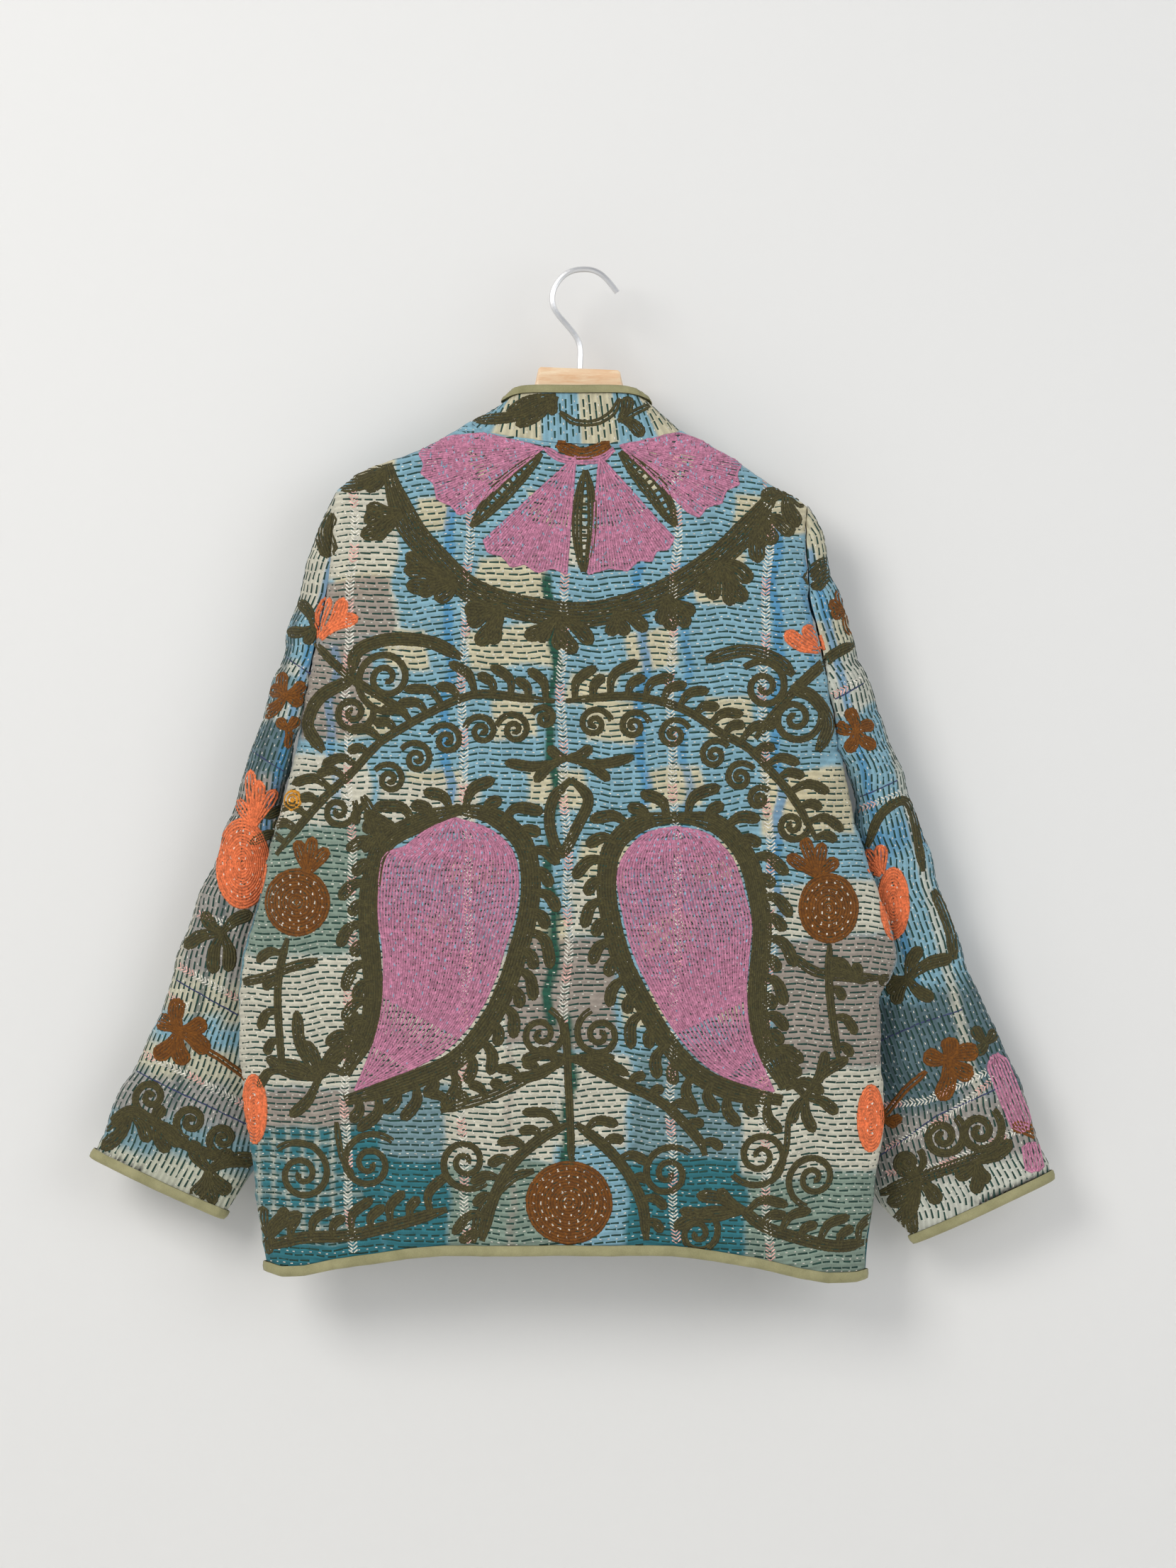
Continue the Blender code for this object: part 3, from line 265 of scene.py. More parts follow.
# Lines of navy thread, and of slanted stitches, across the sleeves
NAVY_LINES = (
    ((395, 922), (437, 950)),
    ((353, 1059), (409, 1094)),
    ((240, 1382), (289, 1410), (342, 1441)),
    ((188, 1515), (268, 1553), (346, 1592)),
    ((1174, 989), (1219, 964)),
    ((1205, 1129), (1268, 1101)),
    ((1244, 1473), (1303, 1445), (1360, 1427)),
    ((1240, 1641), (1324, 1578), (1416, 1536)),
)
ARM_BANDS = (
    ((191, 1487), (268, 1522), (342, 1565)),
    ((247, 1364), (342, 1417)),
    ((226, 1403), (261, 1424)),
    ((275, 1290), (331, 1311)),
    ((1251, 1627), (1331, 1585), (1409, 1522)),
    ((1174, 982), (1219, 957)),
    ((1212, 1143), (1275, 1118)),
    ((1251, 1565), (1310, 1557), (1395, 1515)),
    ((1254, 1662), (1331, 1648), (1437, 1599)),
)
# Leaves and lines at the neck and on the shoulders, with the thread first
BODY_EXTRAS = (
    ("orange", (452, 900), ((464, 844), (486, 846), (505, 872)), 8.5),
    ("orange", (1160, 918), ((1108, 893), (1134, 886)), 9.0),
    ("olive", (784, 559), ((668, 590), (716, 583), (729, 599), (779, 584)), 6.5),
    ("olive", (876, 590), ((906, 614), (886, 560)), 7.5),
)
BODY_BANDS = (
    ("rust", ((786, 626), (814, 639), (832, 639), (860, 627)), 7.0),
    ("pink", ((768, 632), (796, 648), (842, 649), (866, 634)), 4.0),
    ("olive", ((790, 582), (812, 596), (842, 596), (864, 582), (874, 562)), 2.8),
    ("olive", ((872, 594), (900, 579), (916, 570)), 2.8),
)

# The garment's sizes, as its solids have them
HEM_EDGE = 9.0
CUFF_EDGE = 9.0
BAND_EDGE = 7.0
SLEEVE_EASE = 0.36
ROW = 8.0
YOKE_LEVEL = -215.0
LEVEL_ROWS = 69
YOKE_STEPS = (0.0, 0.03, 0.08, 0.16, 0.28, 0.42, 0.60, 0.80, 1.0)
HEM_STEPS = 8
UNDERARM_ROW = {"left": 22, "right": 24}
RIDGE_RADIUS = 11.0
ARMHOLE_HALF = 14.0
ARMHOLE_FADE = 0.2
# One row for each section down the body
SECTION_COLUMNS = ("z", "left", "right", "side", "back", "front")
SECTIONS = (
    (-215, -209.0, 191.0, 0, 28, 15),
    (-247, -211.5, 192.0, -1, 33, 20),
    (-279, -217.0, 194.0, -2, 36, 23),
    (-311, -224.0, 202.0, -3, 38, 24),
    (-343, -230.5, 208.0, -4, 40, 25),
    (-375, -236.5, 213.0, -5, 41, 27),
    (-407, -242.5, 219.0, -8, 42, 29),
    (-439, -249.0, 227.0, -12, 42, 32),
    (-471, -258.0, 233.0, -14, 43, 34),
    (-503, -266.5, 242.5, -15, 44, 35),
    (-535, -274.5, 253.5, -15, 44, 35),
    (-567, -284.5, 265.5, -15, 44, 35),
    (-583, -289.0, 269.0, -15, 44, 35),
    (-599, -290.5, 263.5, -15, 44, 35),
    (-615, -291.0, 252.0, -15, 43, 35),
    (-631, -290.0, 253.0, -15, 43, 35),
    (-663, -290.0, 252.5, -15, 43, 35),
    (-695, -286.0, 255.5, -15, 42, 34),
    (-727, -282.5, 255.5, -14, 41, 33),
    (-759, -278.5, 250.5, -14, 40, 32),
    (-791, -274.5, 248.5, -13, 38, 30),
    (-823, -269.0, 244.0, -12, 37, 29),
    (-855, -263.0, 240.5, -12, 36, 28),
)

# Shoulder seams from the armholes in to the neck, and the neck seam between them
SHOULDER_COLUMNS = ("x", "z")
LEFT_SHOULDER = ((-208, -187), (-186, -171.5), (-143, -152), (-94, -127.6))
RIGHT_SHOULDER = ((84.6, -135.4), (116, -151.6), (163, -179.2), (192, -199))
# Each row has x, y, z of the neck seam, then x, y, z of the band's free edge above it
BACK_COLLAR = (
    (-94.0, 0, -127.6, -60.0, 26, -110.0),
    (-91.0, -8, -131.0, -62.0, 9, -108.0),
    (-84.0, -13, -137.0, -60.0, -5, -105.0),
    (-52.0, -20, -143.0, -50.0, -14, -98.2),
    (-4.0, -24, -148.0, -7.0, -18, -98.0),
    (46.0, -20, -146.0, 36.0, -14, -98.2),
    (75.0, -13, -139.0, 50.0, -5, -104.0),
    (82.0, -8, -136.5, 54.0, 9, -108.5),
    (84.6, 0, -135.4, 53.0, 26, -111.0),
)

# The front neckline and the band's way across it, for each side of the opening
NECKLINE_COLUMNS = ("z", "seam_x", "across", "forward", "up")
NECKLINE = {
    "left": (
        (-127.6, -94.0, 34.0, 26.0, 17.6),
        (-150, -90.0, 40.0, 17.0, 16.0),
        (-187, -83.0, 44.0, 9.0, 14.0),
        (-215, -78.0, 46.0, 6.0, 12.0),
        (-279, -66.0, 48.5, 2.0, 8.0),
        (-343, -60.0, 50.0, 0.0, 1.0),
        (-407, -60.0, 50.0, 0.0, 0.0),
        (-855, -62.0, 50.0, 0.0, 0.0),
    ),
    "right": (
        (-135.4, 84.6, 31.6, 26.0, 24.4),
        (-155, 81.0, 38.0, 17.0, 19.0),
        (-187, 75.0, 44.0, 9.0, 14.0),
        (-215, 70.0, 46.0, 6.0, 12.0),
        (-279, 59.0, 48.5, 2.0, 8.0),
        (-343, 53.0, 50.0, 0.0, 1.0),
        (-407, 52.0, 50.0, 0.0, 0.0),
        (-855, 50.0, 50.0, 0.0, 0.0),
    ),
}

# How the front layer leaves the side fold: the share of its depth at a share of its width
FRONT_PROFILE = ((0, 0), (0.03, 0.16), (0.10, 0.22), (0.22, 0.32), (0.45, 0.75), (0.70, 0.95), (1, 1))

# The hem's lower edge across the back, and its height where the two fronts meet
HEM = (
    (-264, -849), (-251, -852), (-233, -851), (-205, -845), (-174, -840), (-145, -835),
    (-113, -832), (-68, -832.5), (41, -831.5), (76, -832.5), (111, -837), (146, -843),
    (182, -852), (208, -857), (233, -857.5), (240.5, -856),
)
FRONT_HEM = -830.0
HEM_LEVEL = -845.0

# The slanting seam that parts the back's two pieces: its ends at the underarms and its point
BACK_SEAM = ((-239.4, -390.4), (-8.4, -639.4), (217.2, -407.2))

# The sleeves: the outer fold beside the armhole by height, then the rows below the underarm.
# A lower row has x, z, y of the outer fold, x, z, y of the inner fold, and half the sleeve's depth.
ARM_COLUMNS = ("z", "x", "y", "half")
ARM_EDGE = {
    "left": (
        (-187, -208, 0, 4),
        (-199, -216, 0, 8),
        (-228, -227, 3, 13),
        (-276, -241, 6, 16),
        (-324, -254, 8, 18),
        (-380, -272, 10, 20),
        (-412, -283, 12, 21),
    ),
    "right": (
        (-199, 192, 0, 4),
        (-211, 201, 0, 9.5),
        (-245, 210, 3, 13),
        (-296, 226, 6, 16),
        (-346, 243, 8, 18),
        (-401, 264, 10, 20),
        (-430, 274, 12, 21),
    ),
}
SLEEVES = {
    "left": (
        (-287, -425, 12, -247, -416, 1, 21),
        (-298, -460, 12, -253.5, -445, 10, 21),
        (-310, -494, 13, -250, -478, 22, 21),
        (-337, -560, 14, -250, -535, 28, 21),
        (-360, -634, 14, -256, -622, 32, 21),
        (-383, -680, 13, -262, -690, 32, 20),
        (-401, -715, 11, -271, -748, 26, 18),
        (-416, -756, 8, -308, -808, 16, 13),
    ),
    "right": (
        (276, -434, 12, 227.5, -428, 1, 21),
        (286, -462, 12, 233, -456, 10, 21),
        (296, -492, 13, 229, -488, 22, 21),
        (312, -542, 14, 227, -540, 28, 21),
        (339, -616, 14, 232, -616, 32, 21),
        (366, -671, 13, 236, -692, 32, 20),
        (388, -733, 11, 246, -776, 26, 18),
        (401, -775, 8, 286, -829, 16, 13),
    ),
}

# The body's rows that the sleeve's top follows, then those that its lines start from
CROWN_ROW = 5
ARM_ROWS = (8, 10, 12, 14, 16, 18, 20, 22, 24, 26, 28, 30)

# How fine the cloth is made
BACK_COLUMNS = 221
UPPER_ROWS = 150
LOWER_ROWS = 130
FRONT_COLUMNS = 41
FRONT_ROWS = 160
SLEEVE_STEPS = 6
BAND_COLUMNS = 13
ARM_ROUND = 97
# Rows below the shoulder over which a sleeve's folds begin
SHOULDER_FADE = 10

# Slow folds of the cloth: mm a wave across and down, its turn, its height in mm
RIPPLES = (
    (150, 420, 0.3, 1.5),
    (-95, 230, 1.1, 0.9),
    (62, -95, 2.0, 0.5),
    (-38, 46, 0.5, 0.32),
    (27, 18, 0.4, 0.28),
    (-21, 15, 1.9, 0.24),
)
ARM_RIPPLES = (
    (260, 62, 0.3, 1.1),
    (-170, 41, 1.3, 0.7),
    (45, -27, 2.2, 0.35),
    (-30, 17, 0.5, 0.3),
)
# The dip at the back's seam: mm deep, and mm to each side
SEAM_DIP = (0.9, 3.0)

# Running stitch: mm between rows, and how each row wanders
ROW_PITCH = 5.1
ROW_WAVES = ((190, 800, 0.2, 2.4), (75, 500, 1.3, 1.3), (31, 300, 2.2, 0.5))

SHADES = {
    "pale_blue": (140, 184, 200),
    "bright_blue": (66, 146, 196),
    "cream": (222, 210, 172),
    "off_white": (222, 216, 194),
    "mauve": (170, 156, 142),
    "grey_green": (142, 160, 142),
    "teal": (38, 118, 128),
    "slate": (76, 92, 94),
    "dark_green": (36, 92, 72),
    "blue_grey": (124, 154, 160),
}

# Cream cells of the plaid, on the picture plane: top, bottom, then left and right of each
CREAM_CELLS = (
    (617, 690, ((500, 563), (655, 720), (905, 985))),
    (699, 748, ((583, 632), (740, 820), (1032, 1146))),
    (784, 854, ((480, 560), (677, 775), (985, 1050))),
    (887, 944, ((540, 600), (657, 787), (880, 950))),
    (985, 1045, ((480, 556), (700, 760), (830, 900), (1000, 1065))),
    (1085, 1140, ((570, 650), (740, 820), (905, 985), (1070, 1150))),
    (1185, 1245, ((640, 715), (820, 890), (980, 1050))),
    (1290, 1345, ((560, 640), (740, 800), (900, 975))),
    (1390, 1440, ((640, 714), (880, 960), (1010, 1075))),
)
# Patches of other cloth: shade, then left, right, top and bottom
PATCHES = (
    ("off_white", (779, 869, 740, 800)),
    ("off_white", (430, 560, 690, 815)),
    ("mauve", (400, 559, 820, 905)),
    ("mauve", (425, 520, 905, 1042)),
    ("off_white", (370, 520, 1062, 1164)),
    ("cream", (1073, 1205, 1085, 1178)),
    ("off_white", (1068, 1255, 1242, 1318)),
    ("off_white", (803, 856, 1240, 1318)),
    ("cream", (800, 868, 950, 992)),
    ("off_white", (530, 673, 1100, 1165)),
    ("grey_green", (330, 526, 1164, 1344)),
    ("mauve", (714, 869, 1320, 1475)),
    ("mauve", (1090, 1260, 1320, 1507)),
    ("off_white", (300, 714, 1344, 1530)),
    ("mauve", (340, 550, 1531, 1588)),
    ("teal", (330, 542, 1585, 1790)),
    ("blue_grey", (542, 632, 1523, 1630)),
    ("teal", (542, 632, 1630, 1790)),
    ("off_white", (632, 787, 1475, 1637)),
    ("grey_green", (632, 787, 1637, 1790)),
    ("off_white", (787, 885, 1480, 1610)),
    ("blue_grey", (893, 1048, 1475, 1630)),
    ("teal", (880, 1048, 1630, 1790)),
    ("off_white", (1048, 1260, 1507, 1654)),
    ("grey_green", (1048, 1260, 1654, 1830)),
)
# Stripes: shade, middle, width, top, bottom, strength
STRIPES = (
    ("bright_blue", 632, 14, 620, 1180, 0.75),
    ("bright_blue", 905, 14, 790, 1300, 0.75),
    ("bright_blue", 965, 12, 790, 1300, 0.6),
    ("bright_blue", 1095, 14, 730, 1300, 0.75),
    ("bright_blue", 470, 12, 905, 1160, 0.5),
    ("dark_green", 779, 14, 805, 1450, 1.0),
    ("dark_green", 802, 13, 1420, 1790, 1.0),
    ("bright_blue", 1140, 10, 760, 960, 0.5),
    ("mauve", 720, 10, 1344, 1790, 0.5),
    ("off_white", 560, 8, 830, 985, 0.6),
)
# Checked cloth: left, right, top, bottom; the checks' pitch across and down, and their strengths
CHECKS = ((345, 505, 1585, 1750),)
CHECK_PITCH = (21, 24)
CHECK_STRENGTH = (0.55, 0.45, 0.8)

# The sleeves: a line down each on the picture plane, bands of colour along it and stripes beside it
ARM_PICTURE = {"left": ((455, 700), (200, 1700)), "right": ((1145, 700), (1400, 1740))}
SLEEVE_BANDS = {
    "left": (
        ("off_white", -60, 170, 0.95), ("pale_blue", 170, 240, 0.9), ("off_white", 240, 262, 0.8),
        ("blue_grey", 262, 300, 0.8), ("off_white", 300, 330, 0.7), ("slate", 330, 405, 0.75),
        ("mauve", 405, 700, 0.85), ("cream", 700, 760, 0.8), ("pale_blue", 760, 800, 0.8),
        ("cream", 800, 850, 0.8), ("mauve", 850, 910, 0.8), ("blue_grey", 910, 960, 0.8),
        ("cream", 960, 1100, 0.7),
    ),
    "right": (
        ("cream", -60, 90, 0.85), ("pale_blue", 90, 170, 0.8), ("cream", 170, 230, 0.8),
        ("off_white", 230, 310, 0.8), ("pale_blue", 310, 480, 0.7), ("bright_blue", 480, 520, 0.5),
        ("pale_blue", 520, 720, 0.7), ("slate", 720, 880, 0.8), ("mauve", 880, 980, 0.85),
        ("off_white", 980, 1100, 0.8),
    ),
}
SLEEVE_STRIPE = 0.7
SLEEVE_LENGTHS = {
    "left": (
        ("bright_blue", 35, 12, 0, 500), ("off_white", -40, 14, 150, 700), ("slate", 5, 10, 160, 900),
    ),
    "right": (
        ("bright_blue", -20, 12, 60, 720), ("off_white", 30, 14, 300, 900), ("slate", 60, 9, 100, 700),
    ),
}

# How strong and how soft the plaid's cells and patches are, and how soft its stripes
CELL = (0.93, 7)
PATCH = (0.96, 8)
STRIPE_SOFT = (4, 12)
SLEEVE_SOFT = (9, 5)
# How the plaid's edges wander: height, length and turn of each wave
WANDER_ACROSS = ((5, 31, 0), (3, 13, 1))
WANDER_DOWN = ((4, 37, 0), (3, 17, 2))
WANDER_SLEEVE = ((5, 23, 0), (3, 9, 0))
SPECKLE_LAYERS = 4
# Wear: the least brightness, its range, the size of its spots in mm and its seed
FADE = (0.86, 0.22, 34, 3.0)
THREAD_WEAR = (0.94, 0.12, 7, 8.0)
# How much closer the threads' spots stand across than down
THREAD_WAY = (2.3, 0.5)

# A binding's section: share of its depth, and mm inward from the cloth's outer face
BINDING_SECTION = (
    (0.0, 0.25), (0.06, 0.85), (0.25, 1.35), (0.5, 1.55), (0.75, 1.4), (0.93, 0.7), (1.0, -0.9),
    (0.9, -2.6), (0.5, -3.3), (0.1, -2.9), (0.0, -2.3),
)
# Its puckers: height, length in mm and turn
PUCKERS = ((0.10, 7.3, 0), (0.06, 3.1, 1))
# The band: steps between the neck's points, its swell in mm and the length of its cells of cloth
BACK_BAND_STEPS = 18
BAND_SWELL = 1.2
BAND_CELL = 31.0
BAND_CREAM = 0.9


def smooth(t):
    """A smooth step from 0 to 1."""
    t = np.clip(t, 0.0, 1.0)
    return t * t * (3 - 2 * t)


def column(table, columns, name):
    """One named column of a table."""
    return np.array([row[columns.index(name)] for row in table], dtype=float)


def read(table, columns, key, name, at):
    """The named column read at a value of the key column, straight between the rows."""
    keys = column(table, columns, key)
    values = column(table, columns, name)
    order = np.argsort(keys)
    return np.interp(at, keys[order], values[order])


def section(name, z):
    """A measure of the body read at a height."""
    return read(SECTIONS, SECTION_COLUMNS, "z", name, z)


def unit(vectors):
    """Vectors scaled to a length of one."""
    length = np.linalg.norm(vectors, axis=-1, keepdims=True)
    return vectors / np.maximum(length, 1e-9)


def lengths_along(path):
    """How far each point of a line lies from its start."""
    return np.concatenate([[0], np.cumsum(np.linalg.norm(np.diff(path, axis=0), axis=1))])


def points_at(at, lengths, path):
    """Points of a line at distances from its start."""
    return np.stack([np.interp(at, lengths, path[:, a]) for a in range(path.shape[1])], axis=-1)


# The top edge of the back: shoulder, neck and shoulder
TOP_EDGE = (
    [(x, 0.0, z) for x, z in LEFT_SHOULDER[:-1]]
    + [row[:3] for row in BACK_COLLAR]
    + [(x, 0.0, z) for x, z in RIGHT_SHOULDER[1:]]
)
TOP_COLUMNS = ("x", "y", "z")
TIP = {"left": LEFT_SHOULDER[0], "right": RIGHT_SHOULDER[-1]}
BODY_LEVELS = [YOKE_LEVEL - ROW * k for k in range(LEVEL_ROWS + 1)]
UNDERARM = {side: YOKE_LEVEL - ROW * k for side, k in UNDERARM_ROW.items()}
ROWS = len(YOKE_STEPS) + LEVEL_ROWS + HEM_STEPS


def armhole(side, z):
    """Half the armhole's width at a height, an ellipse from the shoulder tip to the underarm."""
    top = TIP[side][1]
    share = np.clip((top - z) / (top - UNDERARM[side]), 0.0, 1.0)
    return ARMHOLE_HALF * 2 * np.sqrt(share * (1 - share))


def row_heights(top, bottom):
    """The heights of a column of points between its top and bottom edge."""
    yoke = [top + (YOKE_LEVEL - top) * step for step in YOKE_STEPS]
    last = BODY_LEVELS[-1]
    hem = [last + (bottom - last) * (k + 1) / HEM_STEPS for k in range(HEM_STEPS)]
    return np.array(yoke + BODY_LEVELS[1:] + hem)


def yoke_depth(edge, below, drop, share):
    """The depth below the top edge: round over the hanger's arm, then easing to the yoke level's depth."""
    reach = np.clip(drop / RIDGE_RADIUS, 0.0, 1.0)
    ridge = RIDGE_RADIUS * np.sqrt(1 - (1 - reach) ** 2)
    start = np.maximum(edge, ridge)
    settled = np.maximum(edge, RIDGE_RADIUS)
    return start + (below - settled) * smooth(share)


def hem_cut(x):
    """The height at which the panels end, above the binding."""
    return np.interp(x, *np.array(HEM).T) + HEM_EDGE


def back_depth(u, z):
    """How far the back stands out behind the origin's plane at a share of its width."""
    near = armhole("left" if u < 0.5 else "right", z) * (1 - smooth(min(u, 1 - u) / ARMHOLE_FADE))
    return near + section("back", z) * np.sqrt(np.clip(1 - (2 * u - 1) ** 2, 0, 1)) - section("side", z)


def side_line(side, z):
    """Where the body's side stands at a height, straight up to the shoulder tip above the yoke level."""
    tip_x, tip_z = TIP[side]
    level_x = section(side, YOKE_LEVEL)
    return np.where(z > YOKE_LEVEL, np.interp(z, (YOKE_LEVEL, tip_z), (level_x, tip_x)), section(side, z))


def back_points(shares):
    """The back's plain outer grid: a row for each height, a column for each share of its width."""
    grid = np.zeros((ROWS, len(shares), 3))
    top_x = column(TOP_EDGE, TOP_COLUMNS, "x")
    for c, u in enumerate(shares):
        edge_x = top_x[0] + (top_x[-1] - top_x[0]) * u
        top = read(TOP_EDGE, TOP_COLUMNS, "x", "z", edge_x)
        edge = -read(TOP_EDGE, TOP_COLUMNS, "x", "y", edge_x)
        hem_x = section("left", HEM_LEVEL) + (section("right", HEM_LEVEL) - section("left", HEM_LEVEL)) * u
        z = row_heights(top, hem_cut(hem_x))
        left, right = side_line("left", z), side_line("right", z)
        yoke = np.clip((top - z) / (top - YOKE_LEVEL), 0, 1)
        level_x = left + (right - left) * u
        x = np.where(z > YOKE_LEVEL, edge_x + (level_x - edge_x) * yoke, level_x)
        depth = np.where(
            z > YOKE_LEVEL,
            yoke_depth(edge, back_depth(u, YOKE_LEVEL), top - z, yoke),
            back_depth(u, z),
        )
        grid[:, c] = np.stack([x, -depth, z], axis=-1)
    return grid


def front_depth(side, v, z):
    """How far a front stands forward of the origin's plane at a share of its width from the side."""
    profile = np.interp(v, *np.array(FRONT_PROFILE).T)
    near = armhole(side, z) * (1 - smooth(v / (2 * ARMHOLE_FADE)))
    return section("side", z) + near + section("front", z) * profile


def front_points(side, shares):
    """A front's plain outer grid, with its columns from the side in to the band."""
    table = NECKLINE[side]
    shoulder = LEFT_SHOULDER if side == "left" else RIGHT_SHOULDER
    tip_x = TIP[side][0]
    neck_x = table[0][1]
    grid = np.zeros((ROWS, len(shares), 3))
    for c, v in enumerate(shares):
        edge_x = tip_x + (neck_x - tip_x) * v
        top = read(shoulder, SHOULDER_COLUMNS, "x", "z", edge_x)
        side_hem = hem_cut(section(side, HEM_LEVEL))
        z = row_heights(top, side_hem + (FRONT_HEM + HEM_EDGE - side_hem) * smooth(v))
        yoke = np.clip((top - z) / (top - YOKE_LEVEL), 0, 1)
        outer = section(side, z)
        inner = read(table, NECKLINE_COLUMNS, "z", "seam_x", z)
        level_outer = section(side, YOKE_LEVEL)
        level_inner = read(table, NECKLINE_COLUMNS, "z", "seam_x", YOKE_LEVEL)
        level_x = level_outer + (level_inner - level_outer) * v
        x = np.where(z > YOKE_LEVEL, edge_x + (level_x - edge_x) * yoke, outer + (inner - outer) * v)
        depth = np.where(
            z > YOKE_LEVEL,
            yoke_depth(0.0, front_depth(side, v, YOKE_LEVEL), top - z, yoke),
            front_depth(side, v, z),
        )
        grid[:, c] = np.stack([x, depth, z], axis=-1)
    return grid


def arc(turn, start, out, into, half):
    """A line of points from an edge round a sleeve's outer fold and back to the other edge."""
    angle = math.pi + turn * (math.pi - start)
    share = ((1 + np.cos(angle)) / (1 + math.cos(start)))[:, None]
    line = out + (into - out) * share
    line[:, 1] -= half * np.sin(angle)
    return line


def sleeve_points(side, back, front):
    """A sleeve's points, axis 0 down it and axis 1 round it."""
    edge = 0 if side == "left" else -1
    behind, before = back[:, edge], front[:, 0]
    turn = np.linspace(-1, 1, ARM_ROUND)
    crown = np.concatenate([behind[CROWN_ROW::-1], before[1:CROWN_ROW + 1]])
    lines = [points_at((turn + 1) / 2, np.linspace(0, 1, len(crown)), crown)]
    underarm = len(YOKE_STEPS) - 1 + UNDERARM_ROW[side]
    for row in [r for r in ARM_ROWS if r < underarm] + [underarm]:
        into = (behind[row] + before[row]) / 2
        gape = (before[row, 1] - behind[row, 1]) / 2 if row < underarm else 0.0
        height = into[2]
        out = np.array([read(ARM_EDGE[side], ARM_COLUMNS, "z", name, height) for name in ("x", "y", "z")])
        half = read(ARM_EDGE[side], ARM_COLUMNS, "z", "half", height)
        lines.append(arc(turn, math.asin(gape / half), out, into, half))
    for x_out, z_out, y_out, x_in, z_in, y_in, half in SLEEVES[side]:
        out = np.array([x_out, y_out, z_out], dtype=float)
        into = np.array([x_in, y_in, z_in], dtype=float)
        lines.append(arc(turn, 0.0, out, into, half))
    return np.array(lines)


def catmull(points, steps):
    """A smooth curve through points along axis 0, with a number of steps between each pair."""
    points = np.asarray(points, dtype=float)
    padded = np.concatenate([2 * points[:1] - points[1:2], points, 2 * points[-1:] - points[-2:-1]])
    out = []
    for k in range(1, len(padded) - 2):
        a, b, c, d = padded[k - 1:k + 3]
        for s in range(steps):
            t = s / steps
            out.append(0.5 * (2 * b + (c - a) * t + (2 * a - 5 * b + 4 * c - d) * t * t
                              + (3 * b - a - 3 * c + d) * t ** 3))
    out.append(points[-1])
    return np.array(out)


def along_column(line, shares):
    """Points of a line read at shares of its length."""
    lengths = lengths_along(line)
    return points_at(shares * lengths[-1], lengths, line)


def seam_height(x):
    """The height of the back's slanting seam at an x."""
    return np.interp(x, [p[0] for p in BACK_SEAM], [p[1] for p in BACK_SEAM])


def split_back(grid):
    """The back's grid in two, above and below the slanting seam, with even rows in each."""
    upper, lower = [], []
    for c in range(grid.shape[1]):
        line = grid[:, c]
        above = line[:, 2] - seam_height(line[:, 0])
        cut = int(np.argmax(above < 0))
        share = above[cut - 1] / (above[cut - 1] - above[cut])
        meet = line[cut - 1] + (line[cut] - line[cut - 1]) * share
        upper.append(along_column(np.concatenate([line[:cut], [meet]]), np.linspace(0, 1, UPPER_ROWS)))
        lower.append(along_column(np.concatenate([[meet], line[cut:]]), np.linspace(0, 1, LOWER_ROWS)))
    return np.transpose(np.array(upper), (1, 0, 2)), np.transpose(np.array(lower), (1, 0, 2))


def normals_of(grid):
    """Unit normals of a grid of points."""
    return unit(np.cross(np.gradient(grid, axis=0), np.gradient(grid, axis=1)))


def waves(x, z, table):
    """Slow waves, one for each row of a table: mm a cycle across and down, turn, height."""
    total = np.zeros_like(x)
    for across, down, turn, height in table:
        total += height * np.sin(x * 2 * math.pi / across + z * 2 * math.pi / down + turn)
    return total


def mesh_piece(name, points, faces, surface, tint=None, row=None, smooth_shade=True):
    """A mesh object from points in millimetres, with a colour and a quilting coordinate for each point."""
    mesh = bpy.data.meshes.new(name)
    points = np.asarray(points, dtype=np.float32).reshape(-1, 3) * MM
    faces = np.asarray(faces, dtype=np.int32)
    sides = faces.shape[1]
    mesh.vertices.add(len(points))
    mesh.vertices.foreach_set("co", points.ravel())
    mesh.loops.add(faces.size)
    mesh.loops.foreach_set("vertex_index", faces.ravel())
    mesh.polygons.add(len(faces))
    mesh.polygons.foreach_set("loop_start", np.arange(0, faces.size, sides, dtype=np.int32))
    mesh.polygons.foreach_set("use_smooth", np.full(len(faces), smooth_shade))
    mesh.update(calc_edges=True)
    mesh.validate()
    if tint is not None:
        layer = mesh.color_attributes.new("tint", "FLOAT_COLOR", "POINT")
        colour = np.ones((len(points), 4), dtype=np.float32)
        colour[:, :3] = np.asarray(tint).reshape(-1, 3)
        layer.data.foreach_set("color", colour.ravel())
    if row is not None:
        layer = mesh.attributes.new("row", "FLOAT", "POINT")
        layer.data.foreach_set("value", np.asarray(row, dtype=np.float32).ravel())
    mesh.materials.append(surface)
    made = bpy.data.objects.new(name, mesh)
    bpy.context.scene.collection.objects.link(made)
    return made


def grid_faces(rows, columns, closed=False):
    """Four-sided faces of a grid, closed round its columns where asked."""
    index = np.arange(rows * columns).reshape(rows, columns)
    right = np.roll(index, -1, axis=1) if closed else index[:, 1:]
    left = index if closed else index[:, :-1]
    return np.stack([left[:-1], left[1:], right[1:], right[:-1]], axis=-1).reshape(-1, 4)


def flat_area(grid):
    """A grid's area in square metres."""
    a = np.cross(grid[1:, :-1] - grid[:-1, :-1], grid[:-1, 1:] - grid[:-1, :-1])
    b = np.cross(grid[1:, :-1] - grid[1:, 1:], grid[:-1, 1:] - grid[1:, 1:])
    return float((np.linalg.norm(a, axis=-1) + np.linalg.norm(b, axis=-1)).sum() / 2 * MM * MM)


def quilt_rows(x, z):
    """Which row of running stitch a place on the back or a front lies in, counted down."""
    return (-z + waves(x, z, ROW_WAVES)) / ROW_PITCH


